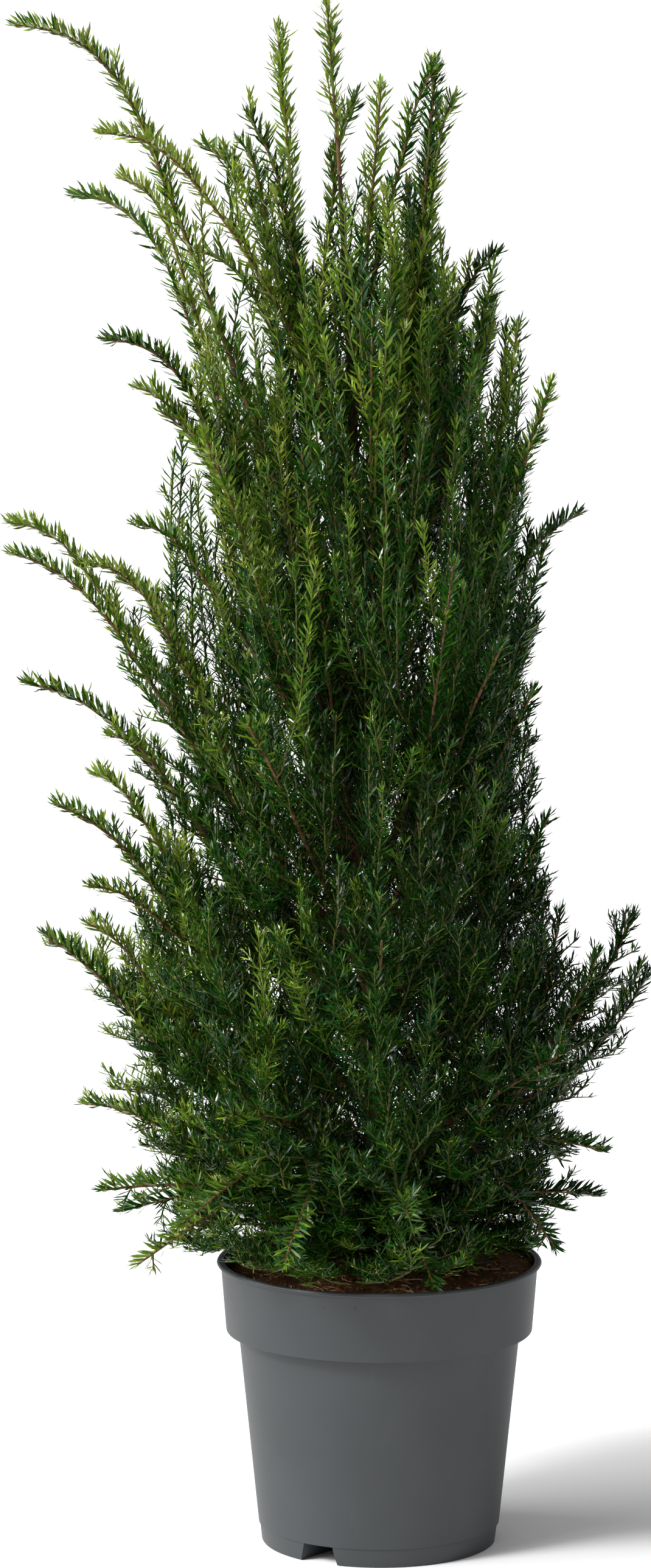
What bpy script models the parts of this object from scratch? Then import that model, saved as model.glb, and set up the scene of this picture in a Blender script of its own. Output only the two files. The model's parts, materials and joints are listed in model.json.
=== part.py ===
"""Potted yew: a young upright yew in a round nursery pot, for Blender 4.5.

Metres, +Z up. The origin is the middle of the pot's flat underside. The front is -Y.
"""
import math
import random

import bmesh
import bpy
import numpy as np
from mathutils import Matrix, Vector
from mathutils.bvhtree import BVHTree

# Pot: outside sizes of a 25-litre nursery pot, and its wall
POT_HEIGHT = 0.335
LIP_RADIUS = 0.190
LIP_DEPTH = 0.0055
COLLAR_RADIUS = (0.1855, 0.1795)
COLLAR_FOOT = 0.252
EDGE = 0.0012
BODY_RADIUS = (0.1650, 0.1415)
FOOT_HEIGHT = 0.022
FOOT_RADIUS = (0.140, 0.138)
WALL = 0.003
POT_SEGMENTS = 28

# Drainage channels across the underside, each ending in a notch in the foot
CHANNEL_AZIMUTHS = (239.0, 359.0, 119.0)
CHANNEL_HEIGHT = 0.022
CHANNEL_SPAN = (0.045, 0.160)
CHANNEL_HALF_WIDTH = (0.012, 0.031)
CHANNEL_TOP_SHARE = 0.70
DRAIN_RADIUS = 0.006
DRAIN_DISTANCE = 0.090

# Peat: lowest at the front left, heaped at the back right
GAP = 0.0003
SOIL_LEVEL = 0.322
SOIL_HEAP = 0.007
SOIL_SHRINK = 0.001
SOIL_RINGS = (0.034, 0.090, 0.140)
HEAP_AZIMUTH = math.radians(50)

# Trunk: height where its own leading shoot takes over, and how it leans
TRUNK_TOP = 1.60
TRUNK_LEAN = -0.047
TRUNK_RADIUS = (0.0160, 0.0022)
FLARE_RADIUS = 0.012
FLARE_HEIGHT = 0.035

# Limbs: radius at a limb's two ends, straight run at its foot and at each cut end, clear space
BOUGH_RADIUS = (0.0085, 0.0036)
STEM_RADIUS = (0.0036, 0.0022)
COLLAR_RUN = 0.012
END_RUN = 0.006
CLEARANCE = 0.004

# Sprays: rib, teeth (reach as a share of the spray's length, and lean), lift towards the light
SPRAY_RADIUS = 0.0026
TOOTH_REACH = 0.29
TOOTH_LEAN = 0.55
SPRAY_LIFT = 0.12

# The rule that places them: where on the limb the first (on a bare limb, on one with a bough),
# the last and the tip's own spray stand, the turn from one to the next, how wide they spread
FIRST_SPRAY = (0.20, 0.06)
LAST_SPRAY = 0.76
TIP_SHARE = 0.72
SPRAY_TURN = 2.4
SPRAY_SPREAD = (28, 58)
LENGTH_TRIES = (1.0, 0.85, 0.7, 0.55)
TRIES_EACH = 12
SEED = 25

# Furthest that side sprays reach at each height: to the left, to the right, and to front or back
CROWN_SLACK = 1.04
CROWN = (
    (0.34, 0.25, 0.19, 0.24), (0.50, 0.31, 0.25, 0.30), (0.65, 0.33, 0.30, 0.32),
    (0.76, 0.34, 0.30, 0.31), (0.82, 0.32, 0.20, 0.30), (1.00, 0.32, 0.18, 0.27),
    (1.20, 0.31, 0.19, 0.25), (1.40, 0.29, 0.18, 0.20), (1.55, 0.29, 0.10, 0.15),
    (1.70, 0.34, 0.08, 0.12), (1.80, 0.38, 0.05, 0.08),
)

# A hooked limb bends over in its last part, and reaches out a little further as it does
HOOK_START = 0.72
HOOK_OUT = 0.4

# One row a limb: name, height on the trunk, tip, arch (above 0 it rises first and then leans
# out, below 0 it leans out first), hook (1 ends level), share of its length that is a bare
# bough, girth, number of side sprays, their length, radius of the dense core (0 for none)
LIMBS = (
    ("low_left", 0.405, (-0.390, -0.030, 0.725), -0.25, 0.5, 0.30, 1.0, 5, 0.22, 0.022),
    ("low_left_under", 0.365, (-0.320, -0.110, 0.440), 0.30, 0.0, 0.34, 0.8, 5, 0.17, 0.016),
    ("low_front_left", 0.435, (-0.175, -0.285, 0.560), 0.20, 0.0, 0.30, 0.9, 5, 0.21, 0.022),
    ("low_front", 0.375, (0.030, -0.300, 0.450), 0.40, 0.0, 0.0, 0.8, 5, 0.19, 0.012),
    ("low_front_right", 0.455, (0.205, -0.220, 0.620), 0.00, 0.0, 0.34, 0.9, 5, 0.21, 0.020),
    ("low_right", 0.415, (0.295, -0.010, 0.745), -0.30, 0.0, 0.32, 0.9, 5, 0.20, 0.020),
    ("low_right_under", 0.365, (0.250, -0.090, 0.430), 0.30, 0.0, 0.0, 0.7, 5, 0.15, 0.0),
    ("low_right_back", 0.375, (0.312, 0.140, 0.660), -0.30, 0.0, 0.32, 0.8, 5, 0.21, 0.020),
    ("low_back_right", 0.425, (0.120, 0.300, 0.590), 0.10, 0.0, 0.30, 0.8, 5, 0.21, 0.020),
    ("low_back", 0.365, (-0.110, 0.290, 0.440), 0.30, 0.0, 0.30, 0.8, 5, 0.17, 0.016),
    ("low_left_back", 0.435, (-0.310, 0.180, 0.640), 0.00, 0.0, 0.30, 0.9, 5, 0.22, 0.022),
    ("mid_left_low", 0.520, (-0.372, -0.090, 0.885), -0.15, 0.7, 0.28, 1.0, 4, 0.21, 0.022),
    ("mid_left", 0.590, (-0.412, 0.030, 1.010), 0.00, 0.8, 0.28, 1.0, 5, 0.20, 0.020),
    ("mid_left_back", 0.560, (-0.260, 0.210, 0.960), 0.00, 0.2, 0.28, 0.9, 5, 0.22, 0.022),
    ("mid_left_high", 0.680, (-0.424, -0.060, 1.172), -0.10, 0.8, 0.28, 1.0, 5, 0.19, 0.018),
    ("mid_front_left", 0.650, (-0.150, -0.255, 1.000), 0.00, 0.2, 0.26, 1.0, 5, 0.21, 0.024),
    ("mid_front", 0.500, (0.000, -0.285, 0.760), 0.10, 0.0, 0.28, 0.9, 5, 0.21, 0.022),
    ("mid_front_right", 0.700, (0.135, -0.200, 1.080), 0.00, 0.2, 0.26, 0.9, 5, 0.20, 0.022),
    ("mid_right_low", 0.540, (0.192, -0.080, 0.870), -0.10, 0.0, 0.0, 0.8, 5, 0.19, 0.018),
    ("mid_right", 0.710, (0.182, 0.020, 1.090), -0.15, 0.0, 0.0, 0.8, 5, 0.18, 0.018),
    ("mid_back_right", 0.580, (0.160, 0.220, 0.950), 0.00, 0.0, 0.28, 0.9, 5, 0.22, 0.024),
    ("mid_back", 0.640, (-0.060, 0.265, 1.080), 0.05, 0.0, 0.26, 0.9, 5, 0.22, 0.024),
    ("high_right", 0.800, (0.231, 0.050, 1.205), 0.00, 0.7, 0.0, 0.7, 5, 0.16, 0.0),
    ("high_right_front", 0.780, (0.193, -0.090, 1.370), -0.05, 0.0, 0.0, 0.8, 5, 0.19, 0.014),
    ("high_front", 0.820, (-0.010, -0.170, 1.450), -0.25, 0.0, 0.0, 0.8, 5, 0.19, 0.016),
    ("high_front_left", 0.770, (-0.200, -0.190, 1.320), -0.10, 0.3, 0.0, 0.8, 5, 0.20, 0.016),
    ("high_left", 0.850, (-0.310, -0.130, 1.420), 0.05, 1.0, 0.0, 0.8, 5, 0.19, 0.0),
    ("high_left_back", 0.800, (-0.160, 0.200, 1.330), 0.00, 0.2, 0.0, 0.8, 4, 0.20, 0.016),
    ("high_back", 0.880, (0.030, 0.170, 1.430), -0.05, 0.0, 0.0, 0.8, 5, 0.20, 0.016),
    ("left_arch", 0.890, (-0.360, 0.190, 1.566), -0.05, 1.1, 0.0, 0.8, 5, 0.18, 0.0),
    ("top_left_arch", 0.970, (-0.414, -0.050, 1.770), 0.10, 1.0, 0.28, 0.9, 5, 0.18, 0.0),
    ("leader_left", 0.740, (-0.118, 0.022, 1.768), -0.30, 0.0, 0.34, 0.9, 5, 0.18, 0.0),
    ("second_arch", 1.260, (-0.315, -0.130, 1.652), 0.25, 1.0, 0.0, 0.7, 5, 0.17, 0.0),
    ("third_arch", 1.200, (-0.208, 0.130, 1.626), 0.00, 0.9, 0.0, 0.7, 5, 0.17, 0.0),
    ("right_leader", 1.000, (0.062, -0.040, 1.730), -0.25, 0.0, 0.0, 0.8, 5, 0.19, 0.0),
    ("right_upright", 0.960, (0.136, 0.030, 1.508), -0.20, 0.8, 0.0, 0.8, 5, 0.17, 0.0),
    ("leading_shoot", TRUNK_TOP, (-0.062, 0.000, 1.796), 0.00, 0.0, 0.0, 0.6, 2, 0.08, 0.0),
)
FIELDS = ("name", "height", "tip", "arch", "hook", "bare", "girth", "sprays", "spray_length", "core")
CORE_SHAPE = (0.0, 0.8, 1.0, 0.8, 0.4)


def clear_scene():
    for item in list(bpy.data.objects):
        bpy.data.objects.remove(item, do_unlink=True)


def new_collection(name):
    collection = bpy.data.collections.new(name)
    bpy.context.scene.collection.children.link(collection)
    return collection


def make_material(name, colour, roughness):
    material = bpy.data.materials.new(name)
    material.use_nodes = True
    shader = material.node_tree.nodes["Principled BSDF"]
    shader.inputs["Base Color"].default_value = (*colour, 1.0)
    shader.inputs["Roughness"].default_value = roughness
    shader.inputs["Metallic"].default_value = 0.0
    return material


clear_scene()
PLANT = new_collection("potted_yew")
CUTTERS = new_collection("cutters")
POT_PLASTIC = make_material("grey_pot_plastic", (0.09, 0.10, 0.10), 0.55)
PEAT = make_material("damp_peat", (0.030, 0.018, 0.010), 0.95)
BARK = make_material("yew_bark", (0.16, 0.085, 0.05), 0.85)
FOLIAGE = make_material("yew_needles", (0.022, 0.075, 0.016), 0.45)


def add_object(name, mesh, material, collection=None):
    """An object for the mesh, in the plant unless another collection is named."""
    mesh.name = name
    mesh.materials.clear()
    if material:
        mesh.materials.append(material)
    item = bpy.data.objects.new(name, mesh)
    (collection or PLANT).objects.link(item)
    return item


def hide_cutter(item):
    item.hide_render = True
    item.display_type = "WIRE"
    return item


def evaluated_mesh(item):
    """The object's mesh with its modifiers applied; the object goes."""
    bpy.context.view_layer.update()
    graph = bpy.context.evaluated_depsgraph_get()
    mesh = bpy.data.meshes.new_from_object(item.evaluated_get(graph), depsgraph=graph)
    bpy.data.objects.remove(item, do_unlink=True)
    return mesh


def triangulate(mesh, flat=0.0):
    """Splits a mesh into triangles, after merging faces that lie flat within an angle."""
    shape = bmesh.new()
    shape.from_mesh(mesh)
    if flat:
        bmesh.ops.dissolve_limit(shape, angle_limit=flat, verts=shape.verts, edges=shape.edges)
    bmesh.ops.triangulate(shape, faces=shape.faces)
    shape.to_mesh(mesh)
    shape.free()


def poly_curve(name, points, cyclic=False):
    curve = bpy.data.curves.new(name, "CURVE")
    curve.dimensions = "3D"
    spline = curve.splines.new("POLY")
    spline.points.add(len(points) - 1)
    for slot, point in zip(spline.points, points):
        slot.co = (*point, 1.0)
    spline.use_cyclic_u = cyclic
    return curve


def ring_profile(sides):
    """A regular outline of radius 1, for tubes with few sides."""
    turns = [2 * math.pi * k / sides for k in range(sides)]
    curve = poly_curve("ring", [(math.cos(turn), math.sin(turn), 0) for turn in turns], cyclic=True)
    item = bpy.data.objects.new("ring", curve)
    CUTTERS.objects.link(item)
    return hide_cutter(item)


RINGS = {sides: ring_profile(sides) for sides in (3, 4, 6, 12)}


def tube_mesh(points, radii, sides):
    """A closed tube through the points, with its own radius at each."""
    curve = poly_curve("tube", points)
    curve.bevel_mode = "OBJECT"
    curve.bevel_object = RINGS[sides]
    curve.use_fill_caps = True
    for slot, radius in zip(curve.splines[0].points, radii):
        slot.radius = radius
    item = bpy.data.objects.new("tube", curve)
    PLANT.objects.link(item)
    mesh = evaluated_mesh(item)
    shape = bmesh.new()
    shape.from_mesh(mesh)
    bmesh.ops.remove_doubles(shape, verts=shape.verts, dist=0.00001)
    bmesh.ops.recalc_face_normals(shape, faces=shape.faces)
    shape.to_mesh(mesh)
    shape.free()
    return mesh


def turned(name, profile, material, collection=None):
    """A profile in XZ, from the axis at the top down its outer side, turned round Z."""
    mesh = bpy.data.meshes.new(name)
    points = [(radius, 0.0, height) for radius, height in profile]
    mesh.from_pydata(points, [(k, k + 1) for k in range(len(points) - 1)], [])
    item = add_object(name, mesh, material, collection)
    screw = item.modifiers.new("turn", "SCREW")
    screw.steps = POT_SEGMENTS
    screw.render_steps = POT_SEGMENTS
    screw.use_merge_vertices = True
    screw.merge_threshold = 0.00005
    return item


def pot_side(inset):
    """Radius and height down the pot's side below the lip, moved inwards by inset."""
    ledge = COLLAR_FOOT + inset
    return [(COLLAR_RADIUS[0] - inset, POT_HEIGHT - LIP_DEPTH), (COLLAR_RADIUS[1] - inset, ledge + EDGE),
            (COLLAR_RADIUS[1] - inset - EDGE, ledge), (BODY_RADIUS[0] - inset, ledge),
            (BODY_RADIUS[1] - inset, FOOT_HEIGHT)]


def channel_cutter(name, azimuth, margin):
    """The trapezoid channel across the underside, grown on its sides, top and end by margin."""
    mesh = bpy.data.meshes.new(name)
    shape = bmesh.new()
    bmesh.ops.create_cube(shape, size=2.0)
    near, far = CHANNEL_SPAN
    for vert in shape.verts:
        out = (vert.co.x + 1) / 2
        up = (vert.co.z + 1) / 2
        half = CHANNEL_HALF_WIDTH[0] + (CHANNEL_HALF_WIDTH[1] - CHANNEL_HALF_WIDTH[0]) * out
        half = half * (1 - (1 - CHANNEL_TOP_SHARE) * up) + margin
        x = near - margin + (far - near + margin) * out
        vert.co = (x, half * vert.co.y, -0.01 + (CHANNEL_HEIGHT + margin + 0.01) * up)
    bmesh.ops.rotate(shape, verts=shape.verts, matrix=Matrix.Rotation(math.radians(azimuth), 3, "Z"))
    shape.to_mesh(mesh)
    shape.free()
    return hide_cutter(add_object(name, mesh, None, CUTTERS))


def drain_cutter(azimuth):
    mesh = bpy.data.meshes.new("drain")
    shape = bmesh.new()
    angle = math.radians(azimuth)
    place = (DRAIN_DISTANCE * math.cos(angle), DRAIN_DISTANCE * math.sin(angle), CHANNEL_HEIGHT)
    bmesh.ops.create_cone(shape, cap_ends=True, segments=10, radius1=DRAIN_RADIUS, radius2=DRAIN_RADIUS,
                          depth=3 * WALL, matrix=Matrix.Translation(place))
    shape.to_mesh(mesh)
    shape.free()
    return hide_cutter(add_object("drain", mesh, None, CUTTERS))


def cut(item, cutter):
    boolean = item.modifiers.new("cut", "BOOLEAN")
    boolean.operation = "DIFFERENCE"
    boolean.solver = "EXACT"
    boolean.object = cutter


def finish_turned(item, name, material):
    mesh = evaluated_mesh(item)
    mesh.shade_smooth()
    mesh.set_sharp_from_angle(angle=math.radians(30))
    return add_object(name, mesh, material)


def build_pot():
    """One moulded shell: thin lip, wide collar over a ledge, tapering body and a notched foot."""
    profile = [(0, POT_HEIGHT), (LIP_RADIUS - EDGE, POT_HEIGHT), (LIP_RADIUS, POT_HEIGHT - EDGE),
               (LIP_RADIUS, POT_HEIGHT - LIP_DEPTH + EDGE), (LIP_RADIUS - EDGE, POT_HEIGHT - LIP_DEPTH)]
    profile += pot_side(0.0)
    profile += [(FOOT_RADIUS[0], FOOT_HEIGHT - 0.001), (FOOT_RADIUS[1], 0.0), (0, 0)]
    pot = turned("pot_solid", profile, POT_PLASTIC)
    inside = [(0, POT_HEIGHT + 0.01), (COLLAR_RADIUS[0] - WALL, POT_HEIGHT + 0.01)] + pot_side(WALL)
    inside += [(FOOT_RADIUS[1] - WALL, WALL), (0, WALL)]
    cavity = hide_cutter(turned("cavity", inside, None, CUTTERS))
    for azimuth in CHANNEL_AZIMUTHS:
        cut(cavity, channel_cutter("channel_wall", azimuth, WALL))
        cut(pot, channel_cutter("channel", azimuth, 0.0))
    cut(pot, cavity)
    for azimuth in CHANNEL_AZIMUTHS:
        cut(pot, drain_cutter(azimuth))
    finish_turned(pot, "pot", POT_PLASTIC)


def build_soil():
    """The peat that fills the pot, heaped towards the back right, flat under the trunk."""
    inset = WALL + GAP
    bottom = CHANNEL_HEIGHT + inset
    wall = pot_side(inset)
    high, low = wall[-2:]
    foot = low[0] + (high[0] - low[0]) * (bottom - low[1]) / (high[1] - low[1])
    profile = [(0, SOIL_LEVEL)] + [(radius, SOIL_LEVEL) for radius in SOIL_RINGS]
    profile += [(wall[0][0] - SOIL_SHRINK, SOIL_LEVEL)] + wall[1:-1] + [(foot, bottom), (0, bottom)]
    soil = finish_turned(turned("soil_solid", profile, PEAT), "soil", PEAT)
    for vert in soil.data.vertices:
        radius = math.hypot(vert.co.x, vert.co.y)
        if vert.co.z > SOIL_LEVEL - GAP and radius > SOIL_RINGS[0] + GAP:
            azimuth = math.atan2(vert.co.y, vert.co.x)
            heap = math.cos(azimuth - HEAP_AZIMUTH) * radius / LIP_RADIUS
            vert.co.z += SOIL_HEAP * heap + 0.0015 * math.sin(5 * azimuth + 60 * radius)


def trunk_point(height):
    """Middle of the trunk at a height; it leans a little to the left as it rises."""
    rise = max(0.0, (height - SOIL_LEVEL) / (TRUNK_TOP - SOIL_LEVEL))
    return Vector((TRUNK_LEAN * rise ** 1.6, 0.008 * math.sin(3.0 * rise), height))


def trunk_radius(height):
    rise = (height - SOIL_LEVEL) / (TRUNK_TOP - SOIL_LEVEL)
    flare = FLARE_RADIUS * math.exp(-max(0.0, height - SOIL_LEVEL) / FLARE_HEIGHT)
    return TRUNK_RADIUS[0] + (TRUNK_RADIUS[1] - TRUNK_RADIUS[0]) * rise ** 0.8 + flare


def build_trunk():
    """One tapering trunk with a ribbed root flare, cut flat where it stands on the peat."""
    base = SOIL_LEVEL + GAP
    heights = [base, base + 0.012, base + 0.035, base + 0.08, 0.48]
    heights += [0.48 + (TRUNK_TOP - 0.48) * (k + 1) / 9 for k in range(9)]
    points = [trunk_point(height) for height in heights]
    points[1].x = points[0].x
    points[1].y = points[0].y
    mesh = tube_mesh(points, [trunk_radius(height) for height in heights], 12)
    for vert in mesh.vertices:
        axis = trunk_point(vert.co.z)
        azimuth = math.atan2(vert.co.y - axis.y, vert.co.x - axis.x)
        rib = 1 + 0.16 * math.sin(4 * azimuth) * math.exp(-(vert.co.z - base) / FLARE_HEIGHT)
        vert.co.x = axis.x + (vert.co.x - axis.x) * rib
        vert.co.y = axis.y + (vert.co.y - axis.y) * rib
    triangulate(mesh)
    mesh.shade_smooth()
    return add_object("trunk", mesh, BARK)


def surface_tree(item):
    shape = bmesh.new()
    shape.from_mesh(item.data)
    tree = BVHTree.FromBMesh(shape)
    shape.free()
    return tree


def seat_on_trunk(surface, axis, out, radius):
    """How far out from the trunk's middle a limb's flat foot just clears the bark."""
    sideways = Vector((-out.y, out.x, 0))
    furthest = 0.0
    steps = [k / 4 for k in range(-4, 5)]
    for across in steps:
        for up in steps:
            start = axis + sideways * across * radius + Vector((0, 0, up * radius)) + out * 0.1
            hit = surface.ray_cast(start, -out)[0]
            if hit:
                furthest = max(furthest, (hit - axis).dot(out))
    return furthest + GAP


def foot_radius(limb):
    return limb["girth"] * (BOUGH_RADIUS if limb["bare"] else STEM_RADIUS)[0]


def limb_curve(limb, surface):
    """Foot, control point and end of the limb's arc, the way it leaves the trunk, and its hook."""
    tip = Vector(limb["tip"])
    axis = trunk_point(limb["height"])
    if limb["height"] >= TRUNK_TOP:
        return axis + Vector((0, 0, GAP)), (axis + tip) / 2, tip, Vector((0, 0, 1)), Vector()
    out = Vector((tip.x - axis.x, tip.y - axis.y, 0)).normalized()
    foot = axis + out * seat_on_trunk(surface, axis, out, foot_radius(limb))
    span = tip - foot
    bend = limb["hook"] * (1 - HOOK_START) / 2
    drop = max(0, span.z - limb["arch"] * span.length) * bend / (1 - bend)
    hook = HOOK_OUT * drop * out - Vector((0, 0, drop))
    span -= hook
    control = foot + 0.5 * (1 - limb["arch"]) * Vector((span.x, span.y, 0))
    control.z += 0.5 * (span.z + limb["arch"] * span.length)
    return foot, control, foot + span, out, hook


def along(curve, share):
    foot, control, end, out, hook = curve
    bend = max(0, share - HOOK_START) / (1 - HOOK_START)
    return foot * (1 - share) ** 2 + control * 2 * share * (1 - share) + end * share ** 2 + hook * bend ** 2


def heading(curve, share):
    foot, control, end, out, hook = curve
    bend = max(0, share - HOOK_START) / (1 - HOOK_START) ** 2
    return ((control - foot) * (1 - share) + (end - control) * share + hook * bend).normalized()


def limb_points(curve, start, end, count):
    """Points along part of a limb, with straight ends so that its caps are square to it."""
    points = [along(curve, start + (end - start) * k / (count - 1)) for k in range(count)]
    if start == 0:
        collar = COLLAR_RUN if curve[3].z == 0 else COLLAR_RUN / 3
        points[0:1] = [curve[0], curve[0] + curve[3] * collar]
    else:
        points[0] = points[0] + heading(curve, start) * GAP
        points.insert(1, points[0] + heading(curve, start) * END_RUN)
    points.insert(-1, points[-1] - heading(curve, end) * END_RUN)
    return points


def taper(points, radii):
    """Radius at each point, shrinking evenly along the line."""
    steps = [0.0]
    for before, after in zip(points, points[1:]):
        steps.append(steps[-1] + (after - before).length)
    return [radii[0] + (radii[1] - radii[0]) * step / steps[-1] for step in steps]


def build_bough(limb, curve):
    points = limb_points(curve, 0.0, limb["bare"], 4)
    mesh = tube_mesh(points, taper(points, [radius * limb["girth"] for radius in BOUGH_RADIUS]), 6)
    mesh.shade_smooth()
    add_object(limb["name"] + "_bough", mesh, BARK)


def crown_share(points):
    """How far out in the crown each point lies; 1 is its outside."""
    heights, *reaches = np.array(CROWN).T
    left, right, deep = (np.interp(points[:, 2], heights, reach) for reach in reaches)
    across = np.where(points[:, 0] < 0, left, right)
    return np.hypot(points[:, 0] / across, points[:, 1] / deep)


class Space:
    """Where every stem and bough runs, so that each mass keeps to the space round its own."""

    def __init__(self, limbs, curves):
        self.stems = {}
        solid = []
        for height in np.arange(SOIL_LEVEL, TRUNK_TOP, 0.01):
            solid.append((*trunk_point(height), trunk_radius(height)))
        for limb, curve in zip(limbs, curves):
            step = 0.008 / (curve[2] - curve[0]).length
            bough = np.arange(0.0, limb["bare"], step)
            solid += [(*along(curve, share), BOUGH_RADIUS[0] * limb["girth"]) for share in bough]
            stem = np.arange(limb["bare"], 1.0, step)
            self.stems[limb["name"]] = np.array([along(curve, share) for share in stem])
        self.solid = np.array(solid)

    def keeps(self, name, points, in_crown=True):
        """True if every point is in the mass's own space, off the limbs and off the pot."""
        points = np.array(points)
        if in_crown and crown_share(points).max() > CROWN_SLACK:
            return False
        from_axis = np.hypot(points[:, 0], points[:, 1])
        over_pot = from_axis < LIP_RADIUS + CLEARANCE
        if np.any(over_pot & (points[:, 2] < POT_HEIGHT + CLEARANCE)) or points[:, 2].min() < COLLAR_FOOT:
            return False
        gaps = np.linalg.norm(points[:, None] - self.solid[None, :, :3], axis=2) - self.solid[None, :, 3]
        if gaps.min() < CLEARANCE:
            return False
        own = self.reach(points, self.stems[name])
        return all(name == other or np.all(self.reach(points, stem) > own + 2 * CLEARANCE)
                   for other, stem in self.stems.items())

    @staticmethod
    def reach(points, stem):
        return np.linalg.norm(points[:, None] - stem[None], axis=2).min(axis=1)


def spray_mesh(points, reach):
    """A slim three-sided rib whose faces past the first ring are drawn out into pointed teeth."""
    mesh = tube_mesh(points, taper(points, (SPRAY_RADIUS, 0.5 * SPRAY_RADIUS)), 3)
    shape = bmesh.new()
    shape.from_mesh(mesh)
    quads = [face for face in shape.faces if len(face.verts) == 4]
    ahead = []
    shares = []
    toothed = []
    for face in quads:
        middle = face.calc_center_median()
        gaps = [((a + b) / 2 - middle).length for a, b in zip(points, points[1:])]
        part = gaps.index(min(gaps))
        if part > 0:
            toothed.append(face)
            ahead.append((points[part + 1] - points[part]).normalized())
            shares.append((part - 0.5) / (len(points) - 1))
    normals = [face.normal.copy() for face in toothed]
    centres = bmesh.ops.poke(shape, faces=toothed)["verts"]
    for vert, normal, forward, share in zip(centres, normals, ahead, shares):
        length = reach * (0.45 + 0.55 * math.sin(math.pi * min(1.0, share + 0.15)))
        vert.co += (normal + forward * TOOTH_LEAN).normalized() * length
    shape.to_mesh(mesh)
    shape.free()
    return mesh


def mesh_samples(mesh, skip_near, distance):
    """Corners and edge middles of a spray, apart from its root."""
    corners = [vert.co.copy() for vert in mesh.vertices]
    middles = [(corners[a] + corners[b]) / 2 for a, b in (edge.vertices for edge in mesh.edges)]
    return [point for point in corners + middles if (point - skip_near).length > distance]


def apart(samples, taken):
    """True if a spray stands clear of those that its stem already carries."""
    gaps = np.linalg.norm(np.array(samples)[:, None] - np.array(taken)[None], axis=2)
    return gaps.min() > 2 * CLEARANCE


def spray_points(root, direction, length, count=5):
    """A side shoot that sets off in its direction and lifts towards the light."""
    shares = [k / (count - 1) for k in range(count)]
    lift = Vector((0, 0, SPRAY_LIFT * length))
    return [root + direction * length * share + lift * share ** 2 for share in shares]


def side_sprays(limb, curve, space, draws, tip_mesh):
    """The seeded rule: sprays leave the stem in turn round it, shorter towards its tip."""
    placed = []
    taken = mesh_samples(tip_mesh, along(curve, 1.0), 0.0)
    start = limb["bare"] + FIRST_SPRAY[limb["bare"] > 0]
    for k in range(limb["sprays"]):
        share = start + (LAST_SPRAY - start) * (k + 0.4) / limb["sprays"]
        root = along(curve, share)
        ahead = heading(curve, share)
        size = limb["spray_length"] * (1.08 - 0.42 * k / limb["sprays"])
        for attempt in range(TRIES_EACH * len(LENGTH_TRIES)):
            azimuth = SPRAY_TURN * k + draws.uniform(-0.5, 0.5) + 0.9 * attempt
            spread = math.radians(draws.uniform(*SPRAY_SPREAD))
            sideways = Matrix.Rotation(azimuth, 3, ahead) @ ahead.orthogonal().normalized()
            direction = ahead * math.cos(spread) + sideways * math.sin(spread)
            length = size * LENGTH_TRIES[attempt // TRIES_EACH]
            mesh = spray_mesh(spray_points(root, direction, length), TOOTH_REACH * length)
            samples = mesh_samples(mesh, root, 0.25 * length)
            if space.keeps(limb["name"], samples) and apart(samples, taken):
                placed.append(mesh)
                taken += samples
                break
            bpy.data.meshes.remove(mesh)
    return placed


def tip_spray(limb, curve, space):
    """The spray that ends the stem and follows its arc to the limb's tip."""
    points = [along(curve, TIP_SHARE + (1 - TIP_SHARE) * k / 5) for k in range(6)]
    for share in LENGTH_TRIES + (0.4, 0.25):
        mesh = spray_mesh(points, TOOTH_REACH * limb["spray_length"] * share)
        if space.keeps(limb["name"], mesh_samples(mesh, points[0], 0.0), in_crown=False):
            break
    return mesh


def stem_mesh(limb, curve, space):
    """The stem of a mass; a dense mass swells round it into a slim core, short of every neighbour."""
    points = limb_points(curve, limb["bare"], TIP_SHARE + 0.03, 6)
    radii = taper(points, [radius * limb["girth"] for radius in STEM_RADIUS])
    corners = [Vector((x, y, z)) for x in (-1, 1) for y in (-1, 1) for z in (-0.5, 0.5)]
    if limb["core"]:
        for k, part in enumerate(CORE_SHAPE):
            point = points[k + 2]
            radius = limb["core"] * part
            while radius > radii[k + 2]:
                if space.keeps(limb["name"], [point + corner * radius for corner in corners]):
                    radii[k + 2] = radius
                    break
                radius *= 0.85
    return tube_mesh(points, radii, 4)


def fuse(name, meshes, material):
    """One closed solid from several that overlap, by one Boolean union."""
    base = add_object(name + "_base", meshes[0], None)
    pieces = bpy.data.collections.new(name + "_pieces")
    for mesh in meshes[1:]:
        pieces.objects.link(bpy.data.objects.new("piece", mesh))
    union = base.modifiers.new("fuse", "BOOLEAN")
    union.operation = "UNION"
    union.operand_type = "COLLECTION"
    union.solver = "MANIFOLD"
    union.collection = pieces
    mesh = evaluated_mesh(base)
    for item in list(pieces.objects):
        bpy.data.objects.remove(item, do_unlink=True)
    bpy.data.collections.remove(pieces)
    triangulate(mesh, flat=0.0002)
    return add_object(name, mesh, material)


def build_plant(trunk):
    limbs = [dict(zip(FIELDS, row)) for row in LIMBS]
    surface = surface_tree(trunk)
    curves = [limb_curve(limb, surface) for limb in limbs]
    space = Space(limbs, curves)
    draws = random.Random(SEED)
    for limb, curve in zip(limbs, curves):
        if limb["bare"]:
            build_bough(limb, curve)
        tip_mesh = tip_spray(limb, curve, space)
        meshes = [stem_mesh(limb, curve, space), tip_mesh]
        meshes += side_sprays(limb, curve, space, draws, tip_mesh)
        fuse(limb["name"] + "_foliage", meshes, FOLIAGE)


build_pot()
build_soil()
build_plant(build_trunk())
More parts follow.
